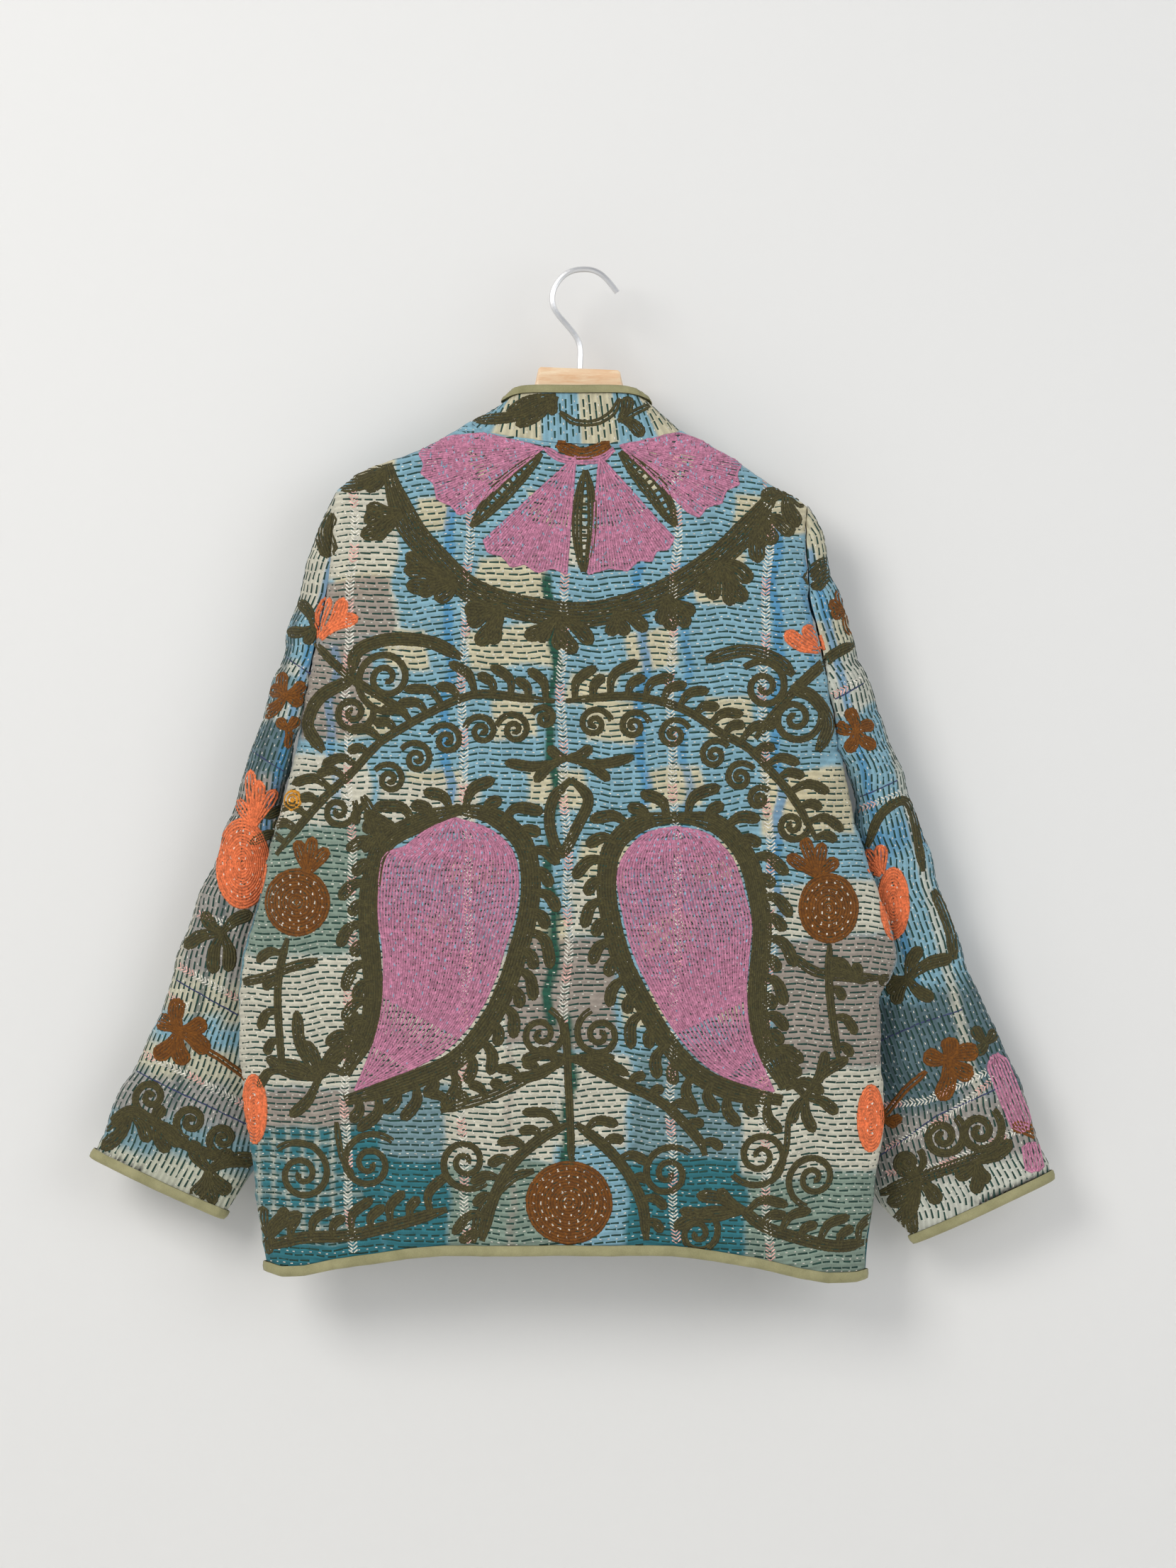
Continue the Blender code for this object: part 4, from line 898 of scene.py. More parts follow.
def linear(rgb):
    """A colour of 0 to 255 steps as the light that a shader takes."""
    c = np.asarray(rgb, dtype=float) / 255
    return np.where(c <= 0.04045, c / 12.92, ((c + 0.055) / 1.055) ** 2.4)


def speckle(x, z, size, seed):
    """Soft noise from 0 to 1 with spots of about a size."""
    total = np.zeros_like(x)
    for k in range(SPECKLE_LAYERS):
        a = seed * 1.7 + k * 2.4
        scale = 2 * math.pi / (size * (1 + 0.37 * k))
        u = x * math.cos(a) + z * math.sin(a)
        v = -x * math.sin(a) + z * math.cos(a)
        total += np.sin(u * scale + 3 * np.sin(v * scale * 0.7 + seed + k))
    return 0.5 + 0.5 * total / SPECKLE_LAYERS


def paint(tint, mask, colour):
    """Lays a colour over a tint where a mask of 0 to 1 says."""
    mask = np.clip(mask, 0, 1)[..., None]
    return tint * (1 - mask) + linear(colour) * mask


def box_mask(u, v, box, soft):
    """1 inside a box of the picture plane, 0 outside, soft at its edges."""
    x0, x1, y0, y1 = box
    inside = np.minimum(np.minimum(u - x0, x1 - u), np.minimum(v - y0, y1 - v))
    return smooth(inside / soft + 0.5)


def wander(along, table):
    """How far an edge wanders at places along it."""
    return sum(height * np.sin(along / length + turn) for height, length, turn in table)


def plain(shade, shape):
    """One shade over a grid of places."""
    return np.broadcast_to(linear(SHADES[shade]), shape + (3,)).copy()


def cloth_tint(u, v):
    """The patched plaid of the body at places of the picture plane."""
    tint = plain("pale_blue", u.shape)
    across = u + wander(v, WANDER_ACROSS)
    down = v + wander(u, WANDER_DOWN)
    for top, bottom, edges in CREAM_CELLS:
        for left, right in edges:
            mask = CELL[0] * box_mask(across, down, (left, right, top, bottom), CELL[1])
            tint = paint(tint, mask, SHADES["cream"])
    for name, box in PATCHES:
        tint = paint(tint, PATCH[0] * box_mask(across, down, box, PATCH[1]), SHADES[name])
    for name, at, width, top, bottom, strength in STRIPES:
        mask = strength * smooth((width / 2 - np.abs(across - at)) / STRIPE_SOFT[0] + 0.5)
        mask = mask * smooth((v - top) / STRIPE_SOFT[1]) * smooth((bottom - v) / STRIPE_SOFT[1])
        tint = paint(tint, mask, SHADES[name])
    for left, right, top, bottom in CHECKS:
        inside = box_mask(across, down, (left, right, top, bottom), PATCH[1])
        lines = np.maximum(np.cos((u - left) * 2 * math.pi / CHECK_PITCH[0]), 0) ** 2 * CHECK_STRENGTH[0]
        cross = np.maximum(np.cos((v - top) * 2 * math.pi / CHECK_PITCH[1]), 0) ** 2 * CHECK_STRENGTH[1]
        tint = paint(tint, inside * np.clip(lines + cross, 0, CHECK_STRENGTH[2]), SHADES["off_white"])
    return tint


def worn(tint, x, z):
    """Fades and stains, and threads that differ, over a tint."""
    least, span, size, seed = FADE
    fade = least + span * speckle(x, z, size, seed)
    least, span, size, seed = THREAD_WEAR
    thread = least + span * speckle(x * THREAD_WAY[0], z * THREAD_WAY[1], size, seed)
    return tint * (fade * thread)[..., None]


def sleeve_tint(side, u, v):
    """The plaid of a sleeve at places of the picture plane, its stripes square to the sleeve."""
    (x0, y0), (x1, y1) = ARM_PICTURE[side]
    end_soft, side_soft = SLEEVE_SOFT
    length = math.hypot(x1 - x0, y1 - y0)
    along = ((u - x0) * (x1 - x0) + (v - y0) * (y1 - y0)) / length
    across = ((u - x0) * (y1 - y0) - (v - y0) * (x1 - x0)) / length
    along = along + wander(across, WANDER_SLEEVE)
    tint = plain("pale_blue", u.shape)
    for name, start, finish, strength in SLEEVE_BANDS[side]:
        mask = smooth((along - start) / end_soft + 0.5) * smooth((finish - along) / end_soft + 0.5)
        tint = paint(tint, strength * mask, SHADES[name])
    for name, at, width, start, finish in SLEEVE_LENGTHS[side]:
        mask = SLEEVE_STRIPE * smooth((width / 2 - np.abs(across - at)) / side_soft + 0.5)
        mask = mask * smooth((along - start) / end_soft) * smooth((finish - along) / end_soft)
        tint = paint(tint, mask, SHADES[name])
    return tint


def band_tint(walked, grid):
    """Blue and cream cells along the band."""
    cell = np.sin(walked * math.pi / BAND_CELL + 0.6 * np.sin(walked / 47))
    mask = np.repeat(smooth(cell * 4 + 0.5)[:, None], grid.shape[1], axis=1)
    return paint(plain("pale_blue", grid.shape[:2]), BAND_CREAM * mask, SHADES["cream"])


# Materials
def new_material(name, colour=(0.8, 0.8, 0.8), roughness=0.85, metallic=0.0, sheen=0.0):
    """A material with its tree and its shader."""
    made = bpy.data.materials.new(name)
    made.use_nodes = True
    shader = made.node_tree.nodes["Principled BSDF"]
    shader.inputs["Base Color"].default_value = (*colour, 1)
    shader.inputs["Roughness"].default_value = roughness
    shader.inputs["Metallic"].default_value = metallic
    shader.inputs["Sheen Weight"].default_value = sheen
    return made, made.node_tree, shader


def node(tree, kind, **values):
    """A node with its settings and input values set by name."""
    made = tree.nodes.new(kind)
    for key, value in values.items():
        if hasattr(made, key):
            setattr(made, key, value)
        else:
            made.inputs[key.replace("_", " ")].default_value = value
    return made


def math_node(tree, operation, a, b=0.0):
    """The output of one calculation on numbers or other outputs."""
    made = tree.nodes.new("ShaderNodeMath")
    made.operation = operation
    for slot, value in enumerate((a, b)):
        if isinstance(value, (int, float)):
            made.inputs[slot].default_value = value
        else:
            tree.links.new(value, made.inputs[slot])
    return made.outputs[0]


def noise_at(tree, vector, **values):
    """A noise read at a vector, from 0 to 1."""
    made = node(tree, "ShaderNodeTexNoise", **values)
    tree.links.new(vector, made.inputs["Vector"])
    return made.outputs["Fac"]


def object_place(tree):
    """Where a point of the surface lies in its object."""
    return node(tree, "ShaderNodeTexCoord").outputs["Object"]


def scaled(tree, value, factor, offset):
    """A value times a factor, plus an offset."""
    made = math_node(tree, "MULTIPLY_ADD", value, factor)
    made.node.inputs[2].default_value = offset
    return made


def blend(tree, first, share, second, other):
    """Two values added, each with its own share."""
    return math_node(tree, "ADD", math_node(tree, "MULTIPLY", first, share),
                     math_node(tree, "MULTIPLY", second, other))


def two_tones(tree, value, ends, dark, light):
    """A colour that runs from dark to light between two ends of a value."""
    ramp = tree.nodes.new("ShaderNodeValToRGB")
    for k, tone in enumerate((dark, light)):
        ramp.color_ramp.elements[k].position = ends[k]
        ramp.color_ramp.elements[k].color = (*tone, 1)
    tree.links.new(value, ramp.inputs["Fac"])
    return ramp.outputs["Color"]


def add_bump(tree, shader, height, strength, distance):
    """Raises a surface's shading by a height; the distance is in metres."""
    bump = node(tree, "ShaderNodeBump", Strength=strength, Distance=distance)
    tree.links.new(height, bump.inputs["Height"])
    tree.links.new(bump.outputs["Normal"], shader.inputs["Normal"])


def cloth_material(name):
    """Quilted cotton: its tint, a fine weave, and the soft channels between rows of stitching, bumped and
    with painted shade and highlight in their colour.
    """
    made, tree, shader = new_material(name, roughness=0.92, sheen=0.15)
    tint = node(tree, "ShaderNodeAttribute", attribute_name="tint")
    row = node(tree, "ShaderNodeAttribute", attribute_name="row")
    place = object_place(tree)
    weave = noise_at(tree, place, Scale=900.0, Detail=2.0)
    slub = noise_at(tree, place, Scale=160.0, Detail=3.0)
    channel = math_node(tree, "SINE", math_node(tree, "MULTIPLY", row.outputs["Fac"], 2 * math.pi))
    uneven = math_node(tree, "MULTIPLY", scaled(tree, weave, 0.22, 0.78), scaled(tree, slub, 0.30, 0.86))
    # Painted shade: the colour swings a tenth darker and lighter across each row of stitching, shading the
    # channels between the rows
    uneven_and_channel_shade = math_node(tree, "MULTIPLY", uneven, scaled(tree, channel, 0.10, 1.0))
    tinted = node(tree, "ShaderNodeVectorMath", operation="SCALE")
    tree.links.new(tint.outputs["Color"], tinted.inputs[0])
    tree.links.new(uneven_and_channel_shade, tinted.inputs["Scale"])
    tree.links.new(tinted.outputs[0], shader.inputs["Base Color"])
    add_bump(tree, shader, blend(tree, channel, 0.55, weave, 0.5), 0.65, 0.0009)
    return made


def thread_material(name, rgb, uneven=0.25, roughness=0.8):
    """Twisted cotton thread with uneven dye, times the tint attribute: each stitch's dye and the painted
    shade and highlight of its ridge.
    """
    made, tree, shader = new_material(name, roughness=roughness, sheen=0.05)
    colour = linear(rgb)
    noise = noise_at(tree, object_place(tree), Scale=420.0, Detail=3.0)
    light = np.minimum(colour * (1 + uneven), 1)
    # The tint attribute carries painted shade and highlight on each stitch's ridge as well as its dye
    tint = node(tree, "ShaderNodeAttribute", attribute_name="tint")
    dyed_and_shaded = node(tree, "ShaderNodeVectorMath", operation="MULTIPLY")
    tree.links.new(two_tones(tree, noise, (0.3, 0.7), colour * (1 - uneven), light), dyed_and_shaded.inputs[0])
    tree.links.new(tint.outputs["Color"], dyed_and_shaded.inputs[1])
    tree.links.new(dyed_and_shaded.outputs[0], shader.inputs["Base Color"])
    add_bump(tree, shader, noise, 0.4, 0.0004)
    return made


def wood_material():
    """Pale beech: long growth lines, short flecks and a satin lacquer."""
    made, tree, shader = new_material("beech", roughness=0.42)
    stretch = node(tree, "ShaderNodeMapping")
    stretch.inputs["Scale"].default_value = (5.0, 30.0, 40.0)
    tree.links.new(object_place(tree), stretch.inputs["Vector"])
    lines = noise_at(tree, stretch.outputs["Vector"], Scale=6.0, Detail=5.0, Distortion=0.6)
    flecks = noise_at(tree, stretch.outputs["Vector"], Scale=40.0, Detail=2.0)
    grain = blend(tree, lines, 0.75, flecks, 0.25)
    tone = two_tones(tree, grain, (0.35, 0.65), linear((240, 192, 146)), linear((255, 230, 194)))
    tree.links.new(tone, shader.inputs["Base Color"])
    add_bump(tree, shader, grain, 0.15, 0.0003)
    shader.inputs["Coat Weight"].default_value = 0.25
    return made


def metal_material():
    """Satin chromed wire with fine draw marks."""
    made, tree, shader = new_material("satin_chrome", (0.80, 0.80, 0.80), roughness=0.38, metallic=1.0)
    noise = noise_at(tree, object_place(tree), Scale=600.0, Detail=2.0)
    tree.links.new(scaled(tree, noise, 0.15, 0.32), shader.inputs["Roughness"])
    return made


def binding_material():
    """Sage cotton tape with a fine twill and soft wear."""
    made, tree, shader = new_material("sage_binding", roughness=0.9, sheen=0.1)
    place = object_place(tree)
    wear = noise_at(tree, place, Scale=70.0, Detail=4.0)
    weave = noise_at(tree, place, Scale=1100.0, Detail=1.0)
    both = blend(tree, wear, 0.7, weave, 0.3)
    tone = two_tones(tree, both, (0.3, 0.72), linear((142, 138, 98)), linear((174, 168, 126)))
    tree.links.new(tone, shader.inputs["Base Color"])
    add_bump(tree, shader, weave, 0.5, 0.0005)
    return made


def resampled(grid, rows):
    """A grid with its columns read again at even steps."""
    shares = np.linspace(0, 1, rows)
    return np.stack([along_column(grid[:, c], shares) for c in range(grid.shape[1])], axis=1)


def turned(normals, towards):
    """Normals turned to the side that a direction points to."""
    middle = tuple(n // 2 for n in normals.shape[:2])
    return normals if np.dot(normals[middle], towards) > 0 else -normals


def rippled(grid, normals, table):
    """A grid with its slow folds, which rise along its normals."""
    return grid + normals * waves(grid[..., 0], grid[..., 2], table)[..., None]


# The grids of the cloth, and those of the bindings with whether they close
panels = {}
edges = []


def add_panel(node_name, grid, out, row, tint, cut, drift=0.0):
    """A quilted panel from a grid of points; the size that it was cut to is not used."""
    tint = worn(tint, grid[..., 0] + drift, grid[..., 2])
    made = mesh_piece(f"{node_name}_cloth", grid, grid_faces(*grid.shape[:2]), cloth, tint, row)
    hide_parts(node_name)
    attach(made, "root")
    round(flat_area(grid), 4)
    panels[node_name] = grid
    quilting(grid, row, out)


def binding_strip(node_name, start, finish, outward, closed=False):
    """A folded binding round a wall's edge, from its stitched side to its rolled side."""
    walked = lengths_along(finish)
    pucker = 1 + sum(high * np.sin(walked * 2 * math.pi / long + turn) for high, long, turn in PUCKERS)
    rings = []
    for share, off in BINDING_SECTION:
        lift = off * (pucker if 0 < share < 1 else np.ones(len(start)))
        rings.append(start + (finish - start) * share - outward * lift[:, None])
    grid = np.array(rings)
    made = mesh_piece(f"{node_name}_cloth", grid, grid_faces(*grid.shape[:2], closed), binding)
    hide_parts(node_name)
    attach(made, "root")
    edges.append((grid, closed))


# Embroidery and quilting threads
THREADS = {
    "pink": (192, 128, 154),
    "olive": (72, 66, 34),
    "rust": (116, 68, 6),
    "orange": (226, 120, 72),
    "mustard": (210, 144, 36),
    "navy": (58, 66, 104),
    "dark_green": (24, 62, 52),
    "white": (226, 222, 208),
    "pale_pink": (238, 184, 172),
    "sky": (132, 178, 196),
}
# Each stitch is a ridge: its lift off the cloth in mm, its first end's narrowing and its top's way in,
# then the painted shade and highlight of its points, darker at its foot and lighter at its top, and the
# range of its dye
STITCH_LIFT = 0.1
END_WIDTH = 0.74
RIDGE_INSET = 0.22
RIDGE_PAINTED_LIGHT = (0.62, 0.62, 0.78, 0.78, 1.22, 1.30)
STITCH_DYE = (0.80, 1.16)
RIDGE_FACES = ((0, 1, 4), (1, 3, 5), (1, 5, 4), (3, 2, 5), (2, 0, 4), (2, 4, 5))
# Chain stitch on the picture plane: a link, its width, and the space between rows; its height in mm;
# then how far the links stray, and their overlap
CHAIN_LINK = 5.2
CHAIN_WIDTH = 5.2
CHAIN_ROW = 4.4
CHAIN_HEIGHT = 1.0
CHAIN_STRAY = 0.22
CHAIN_OVERLAP = 0.12
# The least space between rows that still both run, as a share of the full space
CLOSEST = 0.62
# Threads sewn more openly, and their width
OPEN_THREADS = ("pink",)
OPEN_WIDTH = 4.3
# Spots between the stitches of a field: their spacing and size, their number for each row of a petal,
# and the rows of them down a paisley
HOLE_STEP = 10.5
HOLE_SIZE = 4.6
PETAL_SPOTS = 4.0
FIELD_STATIONS = 44
# Spots' lean in radians, the range of their lengths, and their width and height as shares
SPOT_LEAN = 0.5
SPOT_LENGTH = (0.6, 1.2)
SPOT_WIDTH = 0.8
SPOT_HEIGHT = 1.08
# Leaves: their roots' width, where they are widest and where their tips round
LEAF_ROOT = 0.42
LEAF_WIDEST = 0.70
LEAF_ROUND = 0.80
# Half the width of a fruit's leaves, and how far the leaves from one root bend
CROWN_LEAF = 7.5
LEAF_BEND = 0.10
# Leaves on a branch: their least length and its range, the length of each second one, and how far they lean
# along the branch; then the ways out and along to the tip and to the middle
LEAF_LENGTH = (0.85, 0.3)
SHORT_LEAF = 0.66
LEAF_LEAN = (0.50, 0.75)
TIP_OUT = 0.82
MIDDLE_WAY = (0.52, 0.12)
# How much of a pod's width its open middle takes
POD_OPEN = 0.36
# The motifs' sizes on the picture plane, then factors on the tables' sizes. A frame's leaves have their
# length, the space between them and half their width
GARLAND_HALF = 15.925
FRAME_HALF = 11.676
FRAME_TAPER = 0.5
FRAME_LEAVES = (51.666, 27.468, 6.672)
BRANCH_MORE = 2.0
BRANCH_REACH = 1.38
BRANCH_PITCH = 0.84
BRANCH_LEAF = 5.4
CURL_REACH = 1.12
CURL_WIDTH = 0.8
# A curl's tail and its flare, how its turns close in, and how its line thins
CURL_TAIL = 0.2
CURL_FLARE = 1.7
CURL_CLOSE = (0.86, 0.9)
CURL_THIN = 0.35
# Running stitches in mm: length, gap, width, height
RUNNING = (7.6, 1.9, 1.8, 0.5)
PICKS = (1.9, 5.2, 1.0, 0.4)
# How unevenly they are sewn: mm along and across, then the least length and its range
DASH_STRAY = (0.35, 0.28)
DASH_LENGTH = (0.8, 0.4)
# A navy line's link, width and height
NAVY_CHAIN = (6.0, 2.4, 0.5)
# Columns of slanted stitches down the body: place across, top and bottom; then their sizes
SLANTS = ((495, 690, 1770), (658, 640, 1790), (797, 810, 1440), (950, 640, 1790), (1080, 660, 1790))
SLANT_STEP = 5.2
SLANT_HALF = 6.5
ARM_SLANT_HALF = 5.0
SLANT_STITCH = (2.3, 0.5)
# Where the search for the cloth starts in mm, and how much longer than drawn a stitch may lie on it
BEHIND = -200.0
STRETCH = 2.2
sewn = {name: [] for name in THREADS}
laid = {name: [] for name in THREADS}


def walk_even(path, count):
    """A number of points along a line at even steps."""
    path = np.asarray(path, dtype=float)
    lengths = lengths_along(path)
    return points_at(np.linspace(0, lengths[-1], count), lengths, path)


def walk(path, step):
    """Points along a line at about even steps."""
    return walk_even(path, max(2, int(round(lengths_along(path)[-1] / step)) + 1))


def sew(thread, starts, ends, width, height):
    """Notes stitches on the picture plane, to be laid on the cloth later."""
    count = len(starts)
    row = np.concatenate([starts, ends, np.full((count, 1), width), np.full((count, 1), height)], axis=1)
    sewn[thread].append(row)


def chain(thread, path, link=CHAIN_LINK, width=None, height=CHAIN_HEIGHT):
    """A row of chain stitch along a line, its links a little uneven and one over the next."""
    width = width or (OPEN_WIDTH if thread in OPEN_THREADS else CHAIN_WIDTH)
    points = walk(path, link)
    points = points + rng.normal(0, CHAIN_STRAY, points.shape)
    over = (points[1:] - points[:-1]) * CHAIN_OVERLAP
    sew(thread, points[:-1] - over, points[1:] + over, width, height)


def doubling(k, rows):
    """The greatest power of two in a row's number: the higher it is, the further the row runs in."""
    every = 1
    while k % (every * 2) == 0 and every < rows:
        every *= 2
    return every


def spread(thread, left, right):
    """Rows of chain stitch between two edges, fewer where the edges come together."""
    count = max(len(left), len(right)) * 8
    a, b = walk_even(left, count), walk_even(right, count)
    wide = np.linalg.norm(b - a, axis=1)
    rows = max(2, int(round(wide.max() / CHAIN_ROW)) + 1)
    for k in range(rows):
        keep = wide / (rows - 1) * doubling(k, rows) >= CHAIN_ROW * CLOSEST
        if k in (0, rows - 1):
            keep[:] = True
        line = (a + (b - a) * (k / (rows - 1)))[keep]
        if len(line) > 3:
            chain(thread, line)


def sides(path, half):
    """The two edges of a band along a line, for half-widths at each point."""
    path = np.asarray(path, dtype=float)
    way = unit(np.gradient(path, axis=0))
    across = np.stack([-way[:, 1], way[:, 0]], axis=-1)
    return path + across * np.asarray(half)[:, None], path - across * np.asarray(half)[:, None]


def leaf(thread, spine, half):
    """A leaf with its root at the start of the spine and a rounded tip."""
    line = walk_even(catmull(spine, 6), 24)
    t = np.linspace(0, 1, len(line))
    shape = LEAF_ROOT + (1 - LEAF_ROOT) * smooth(t / LEAF_WIDEST)
    shape = shape * np.sqrt(np.clip(1 - (np.maximum(t - LEAF_ROUND, 0) / (1 - LEAF_ROUND)) ** 2, 0, 1))
    spread(thread, *sides(line, half * shape))


def tape(thread, path, half, taper=0.35):
    """A stem of even width that thins at both ends."""
    line = walk_even(catmull(path, 8), 60)
    t = np.linspace(0, 1, len(line))
    shape = taper + (1 - taper) * smooth(np.minimum(t, 1 - t) * 8)
    spread(thread, *sides(line, half * shape))
    return line


def cluster(thread, root, tips, half):
    """Leaves that spring from one root."""
    root = np.array(root, dtype=float)
    for n, tip in enumerate(tips):
        tip = np.array(tip, dtype=float)
        bend = np.array([-(tip - root)[1], (tip - root)[0]]) * (LEAF_BEND if n % 2 else -LEAF_BEND)
        leaf(thread, np.array([root, (root + tip) / 2 + bend, tip]), half)


def leafy(thread, line, side, length, pitch, half):
    """Leaves along one side of a line, leaning back from its direction."""
    lengths = lengths_along(line)
    for n, place in enumerate(np.arange(pitch * 0.5, lengths[-1], pitch)):
        root, ahead = points_at((place, min(place + 4, lengths[-1])), lengths, line)
        way = unit(ahead - root + 1e-6)
        out = np.array([-way[1], way[0]]) * side
        reach = length * (LEAF_LENGTH[0] + LEAF_LENGTH[1] * rng.random()) * (1, SHORT_LEAF)[n % 2]
        lean = rng.uniform(*LEAF_LEAN)
        tip = root + (out * TIP_OUT + way * lean) * reach
        middle = root + (out * MIDDLE_WAY[0] + way * MIDDLE_WAY[1]) * reach
        leaf(thread, np.array([root, middle, tip]), half)


def curl(thread, centre, radius, start, turns, half):
    """A spiral that winds in from a tail outside its rim."""
    t = np.linspace(-CURL_TAIL, 1, 80)
    angle = math.radians(start) + t * turns * 2 * math.pi
    wound = 1 - CURL_CLOSE[0] * np.maximum(t, 0) ** CURL_CLOSE[1]
    reach = radius * np.where(t < 0, 1 - CURL_FLARE * t, wound)
    line = np.stack([centre[0] + reach * np.cos(angle), centre[1] + reach * np.sin(angle)], axis=-1)
    spread(thread, *sides(line, half * (1 - CURL_THIN * np.abs(t))))


def fruit(thread, centre, across, tall, crown, root):
    """A round fruit of close rings with pale holes between them, and its crown of leaves."""
    def ring(share, turn):
        return centre + share * np.stack([across * np.cos(turn), tall * np.sin(turn)], axis=-1)

    rings = max(2, int(round(max(across, tall) / CHAIN_ROW)))
    for k in range(rings):
        chain(thread, ring(1 - (k + 0.4) / rings, np.linspace(0, 2 * math.pi, 72)))
    holes = []
    for k in range(1, int(across / HOLE_STEP) + 1):
        share = 1 - k * HOLE_STEP / across
        count = max(1, int(2 * math.pi * share * (across + tall) / 2 / (HOLE_STEP * 1.15)))
        holes.extend(ring(share, 2 * math.pi * (np.arange(count) + 0.5 * (k % 2)) / count))
    specks("white", np.array(holes), HOLE_SIZE)
    for tip in crown:
        leaf(thread, np.array([root, (np.array(root) + tip) / 2, tip]), CROWN_LEAF)


def specks(thread, places, size):
    """Small spots of what lies under an embroidered field."""
    lean = rng.uniform(-SPOT_LEAN, SPOT_LEAN, len(places)) + math.pi / 2
    half = np.stack([np.cos(lean), np.sin(lean)], axis=-1) * size / 2
    half = half * rng.uniform(*SPOT_LENGTH, (len(places), 1))
    sew(thread, places - half, places + half, size * SPOT_WIDTH, CHAIN_HEIGHT * SPOT_HEIGHT)


def field_specks(left, right):
    """Spots in rows over a field between two edges: pale near its top, dark below."""
    a, b = walk_even(left, FIELD_STATIONS), walk_even(right, FIELD_STATIONS)
    pale, dark = [], []
    for k in range(2, FIELD_STATIONS - 3):
        wide = np.linalg.norm(b[k] - a[k])
        count = int(wide / HOLE_STEP)
        for n in range(1, count):
            place = a[k] + (b[k] - a[k]) * (n + 0.5 * (k % 2)) / count
            (pale if rng.random() < 0.95 - k / FIELD_STATIONS else dark).append(place)
    specks("sky", np.array(pale), HOLE_SIZE)
    specks("dark_green", np.array(dark), HOLE_SIZE * 0.7)


def petal(thread, apex, end):
    """A fan of rows from one point to a scalloped edge."""
    apex = np.array(apex, dtype=float)
    rim = walk(end, CHAIN_ROW)
    rows = len(rim)
    for k, tip in enumerate(rim):
        start = 0.0 if k in (0, rows - 1) else min(0.9, CLOSEST / doubling(k, rows))
        chain(thread, np.array([apex + (tip - apex) * start, tip]))
    chain(thread, end)
    share = np.sqrt(rng.uniform(0.05, 0.9, int(rows * PETAL_SPOTS)))[:, None]
    places = apex + (rim[rng.integers(0, rows, len(share))] - apex) * share
    specks("sky", places[::2], HOLE_SIZE)
    specks("dark_green", places[1::2], HOLE_SIZE * 0.6)


def pod(thread, spine, half):
    """A pod with a ladder of bars up its open middle."""
    line = walk_even(catmull(spine, 8), 40)
    t = np.linspace(0, 1, 40)
    shape = np.maximum(np.sin(math.pi * t) ** 0.7, 0.12)
    left, right = sides(line, half * shape)
    inner_left, inner_right = sides(line, half * POD_OPEN * shape)
    spread(thread, left, inner_left)
    spread(thread, right, inner_right)
    for k in range(4, 36, 3):
        chain(thread, [inner_left[k], inner_right[k]])


def slanted(path, half):
    """Two columns of slanted stitches, white and pale pink in turn."""
    line = walk(path, SLANT_STEP)
    left, right = sides(line, np.full(len(line), half))
    middle = (left + right) / 2
    for starts, ends in ((left[:-1], middle[1:]), (middle[1:], right[:-1])):
        pick = (np.arange(len(starts)) // 5) % 3 == 0
        sew("pale_pink", starts[pick], ends[pick], *SLANT_STITCH)
        sew("white", starts[~pick], ends[~pick], *SLANT_STITCH)


def lines_at(grid, coordinate, normals):
    """Lines over a grid where a coordinate, growing along its first axis, passes whole numbers."""
    first = int(math.ceil(coordinate.min()))
    last = int(math.floor(coordinate.max()))
    index = np.arange(grid.shape[0])
    for k in range(first, last + 1):
        inside = (coordinate[0] <= k) & (coordinate[-1] >= k)
        columns = np.flatnonzero(inside)
        for run in np.split(columns, np.flatnonzero(np.diff(columns) > 1) + 1):
            if len(run) < 4:
                continue
            points, outs = [], []
            for c in run:
                at = np.interp(k, coordinate[:, c], index)
                low = min(int(at), len(index) - 2)
                share = at - low
                points.append(grid[low, c] * (1 - share) + grid[low + 1, c] * share)
                outs.append(normals[low, c])
            yield k, np.array(points), np.array(outs)


def dashes(thread, points, normals, sizes, phase):
    """Running stitches along a line of points on the cloth, in millimetres."""
    length, gap, width, height = sizes
    lengths = lengths_along(points)
    starts = np.arange(phase % (length + gap), lengths[-1] - length, length + gap)
    starts = starts + rng.normal(0, DASH_STRAY[0], len(starts))
    if not len(starts):
        return
    ends = starts + length * (DASH_LENGTH[0] + DASH_LENGTH[1] * rng.random(len(starts)))
    a, b = points_at(starts, lengths, points), points_at(ends, lengths, points)
    normal = unit(points_at((starts + ends) / 2, lengths, normals))
    stray = rng.normal(0, DASH_STRAY[1], (len(a), 1)) * np.array([[0, 0, 1.0]])
    size = np.full((len(a), 2), (width, height))
    laid[thread].append(np.concatenate([a + stray, b + stray * 0.4, normal, size], axis=1))


def quilting(grid, coordinate, normals):
    """The cloth's rows of dark running stitch, with white picks between them."""
    for k, points, outs in lines_at(grid, coordinate, normals):
        dashes("dark_green", points, outs, RUNNING, k * 3.7)
    for k, points, outs in lines_at(grid, coordinate + 0.5, normals):
        if k % 2:
            dashes("white", points, outs, PICKS, k * 2.9)


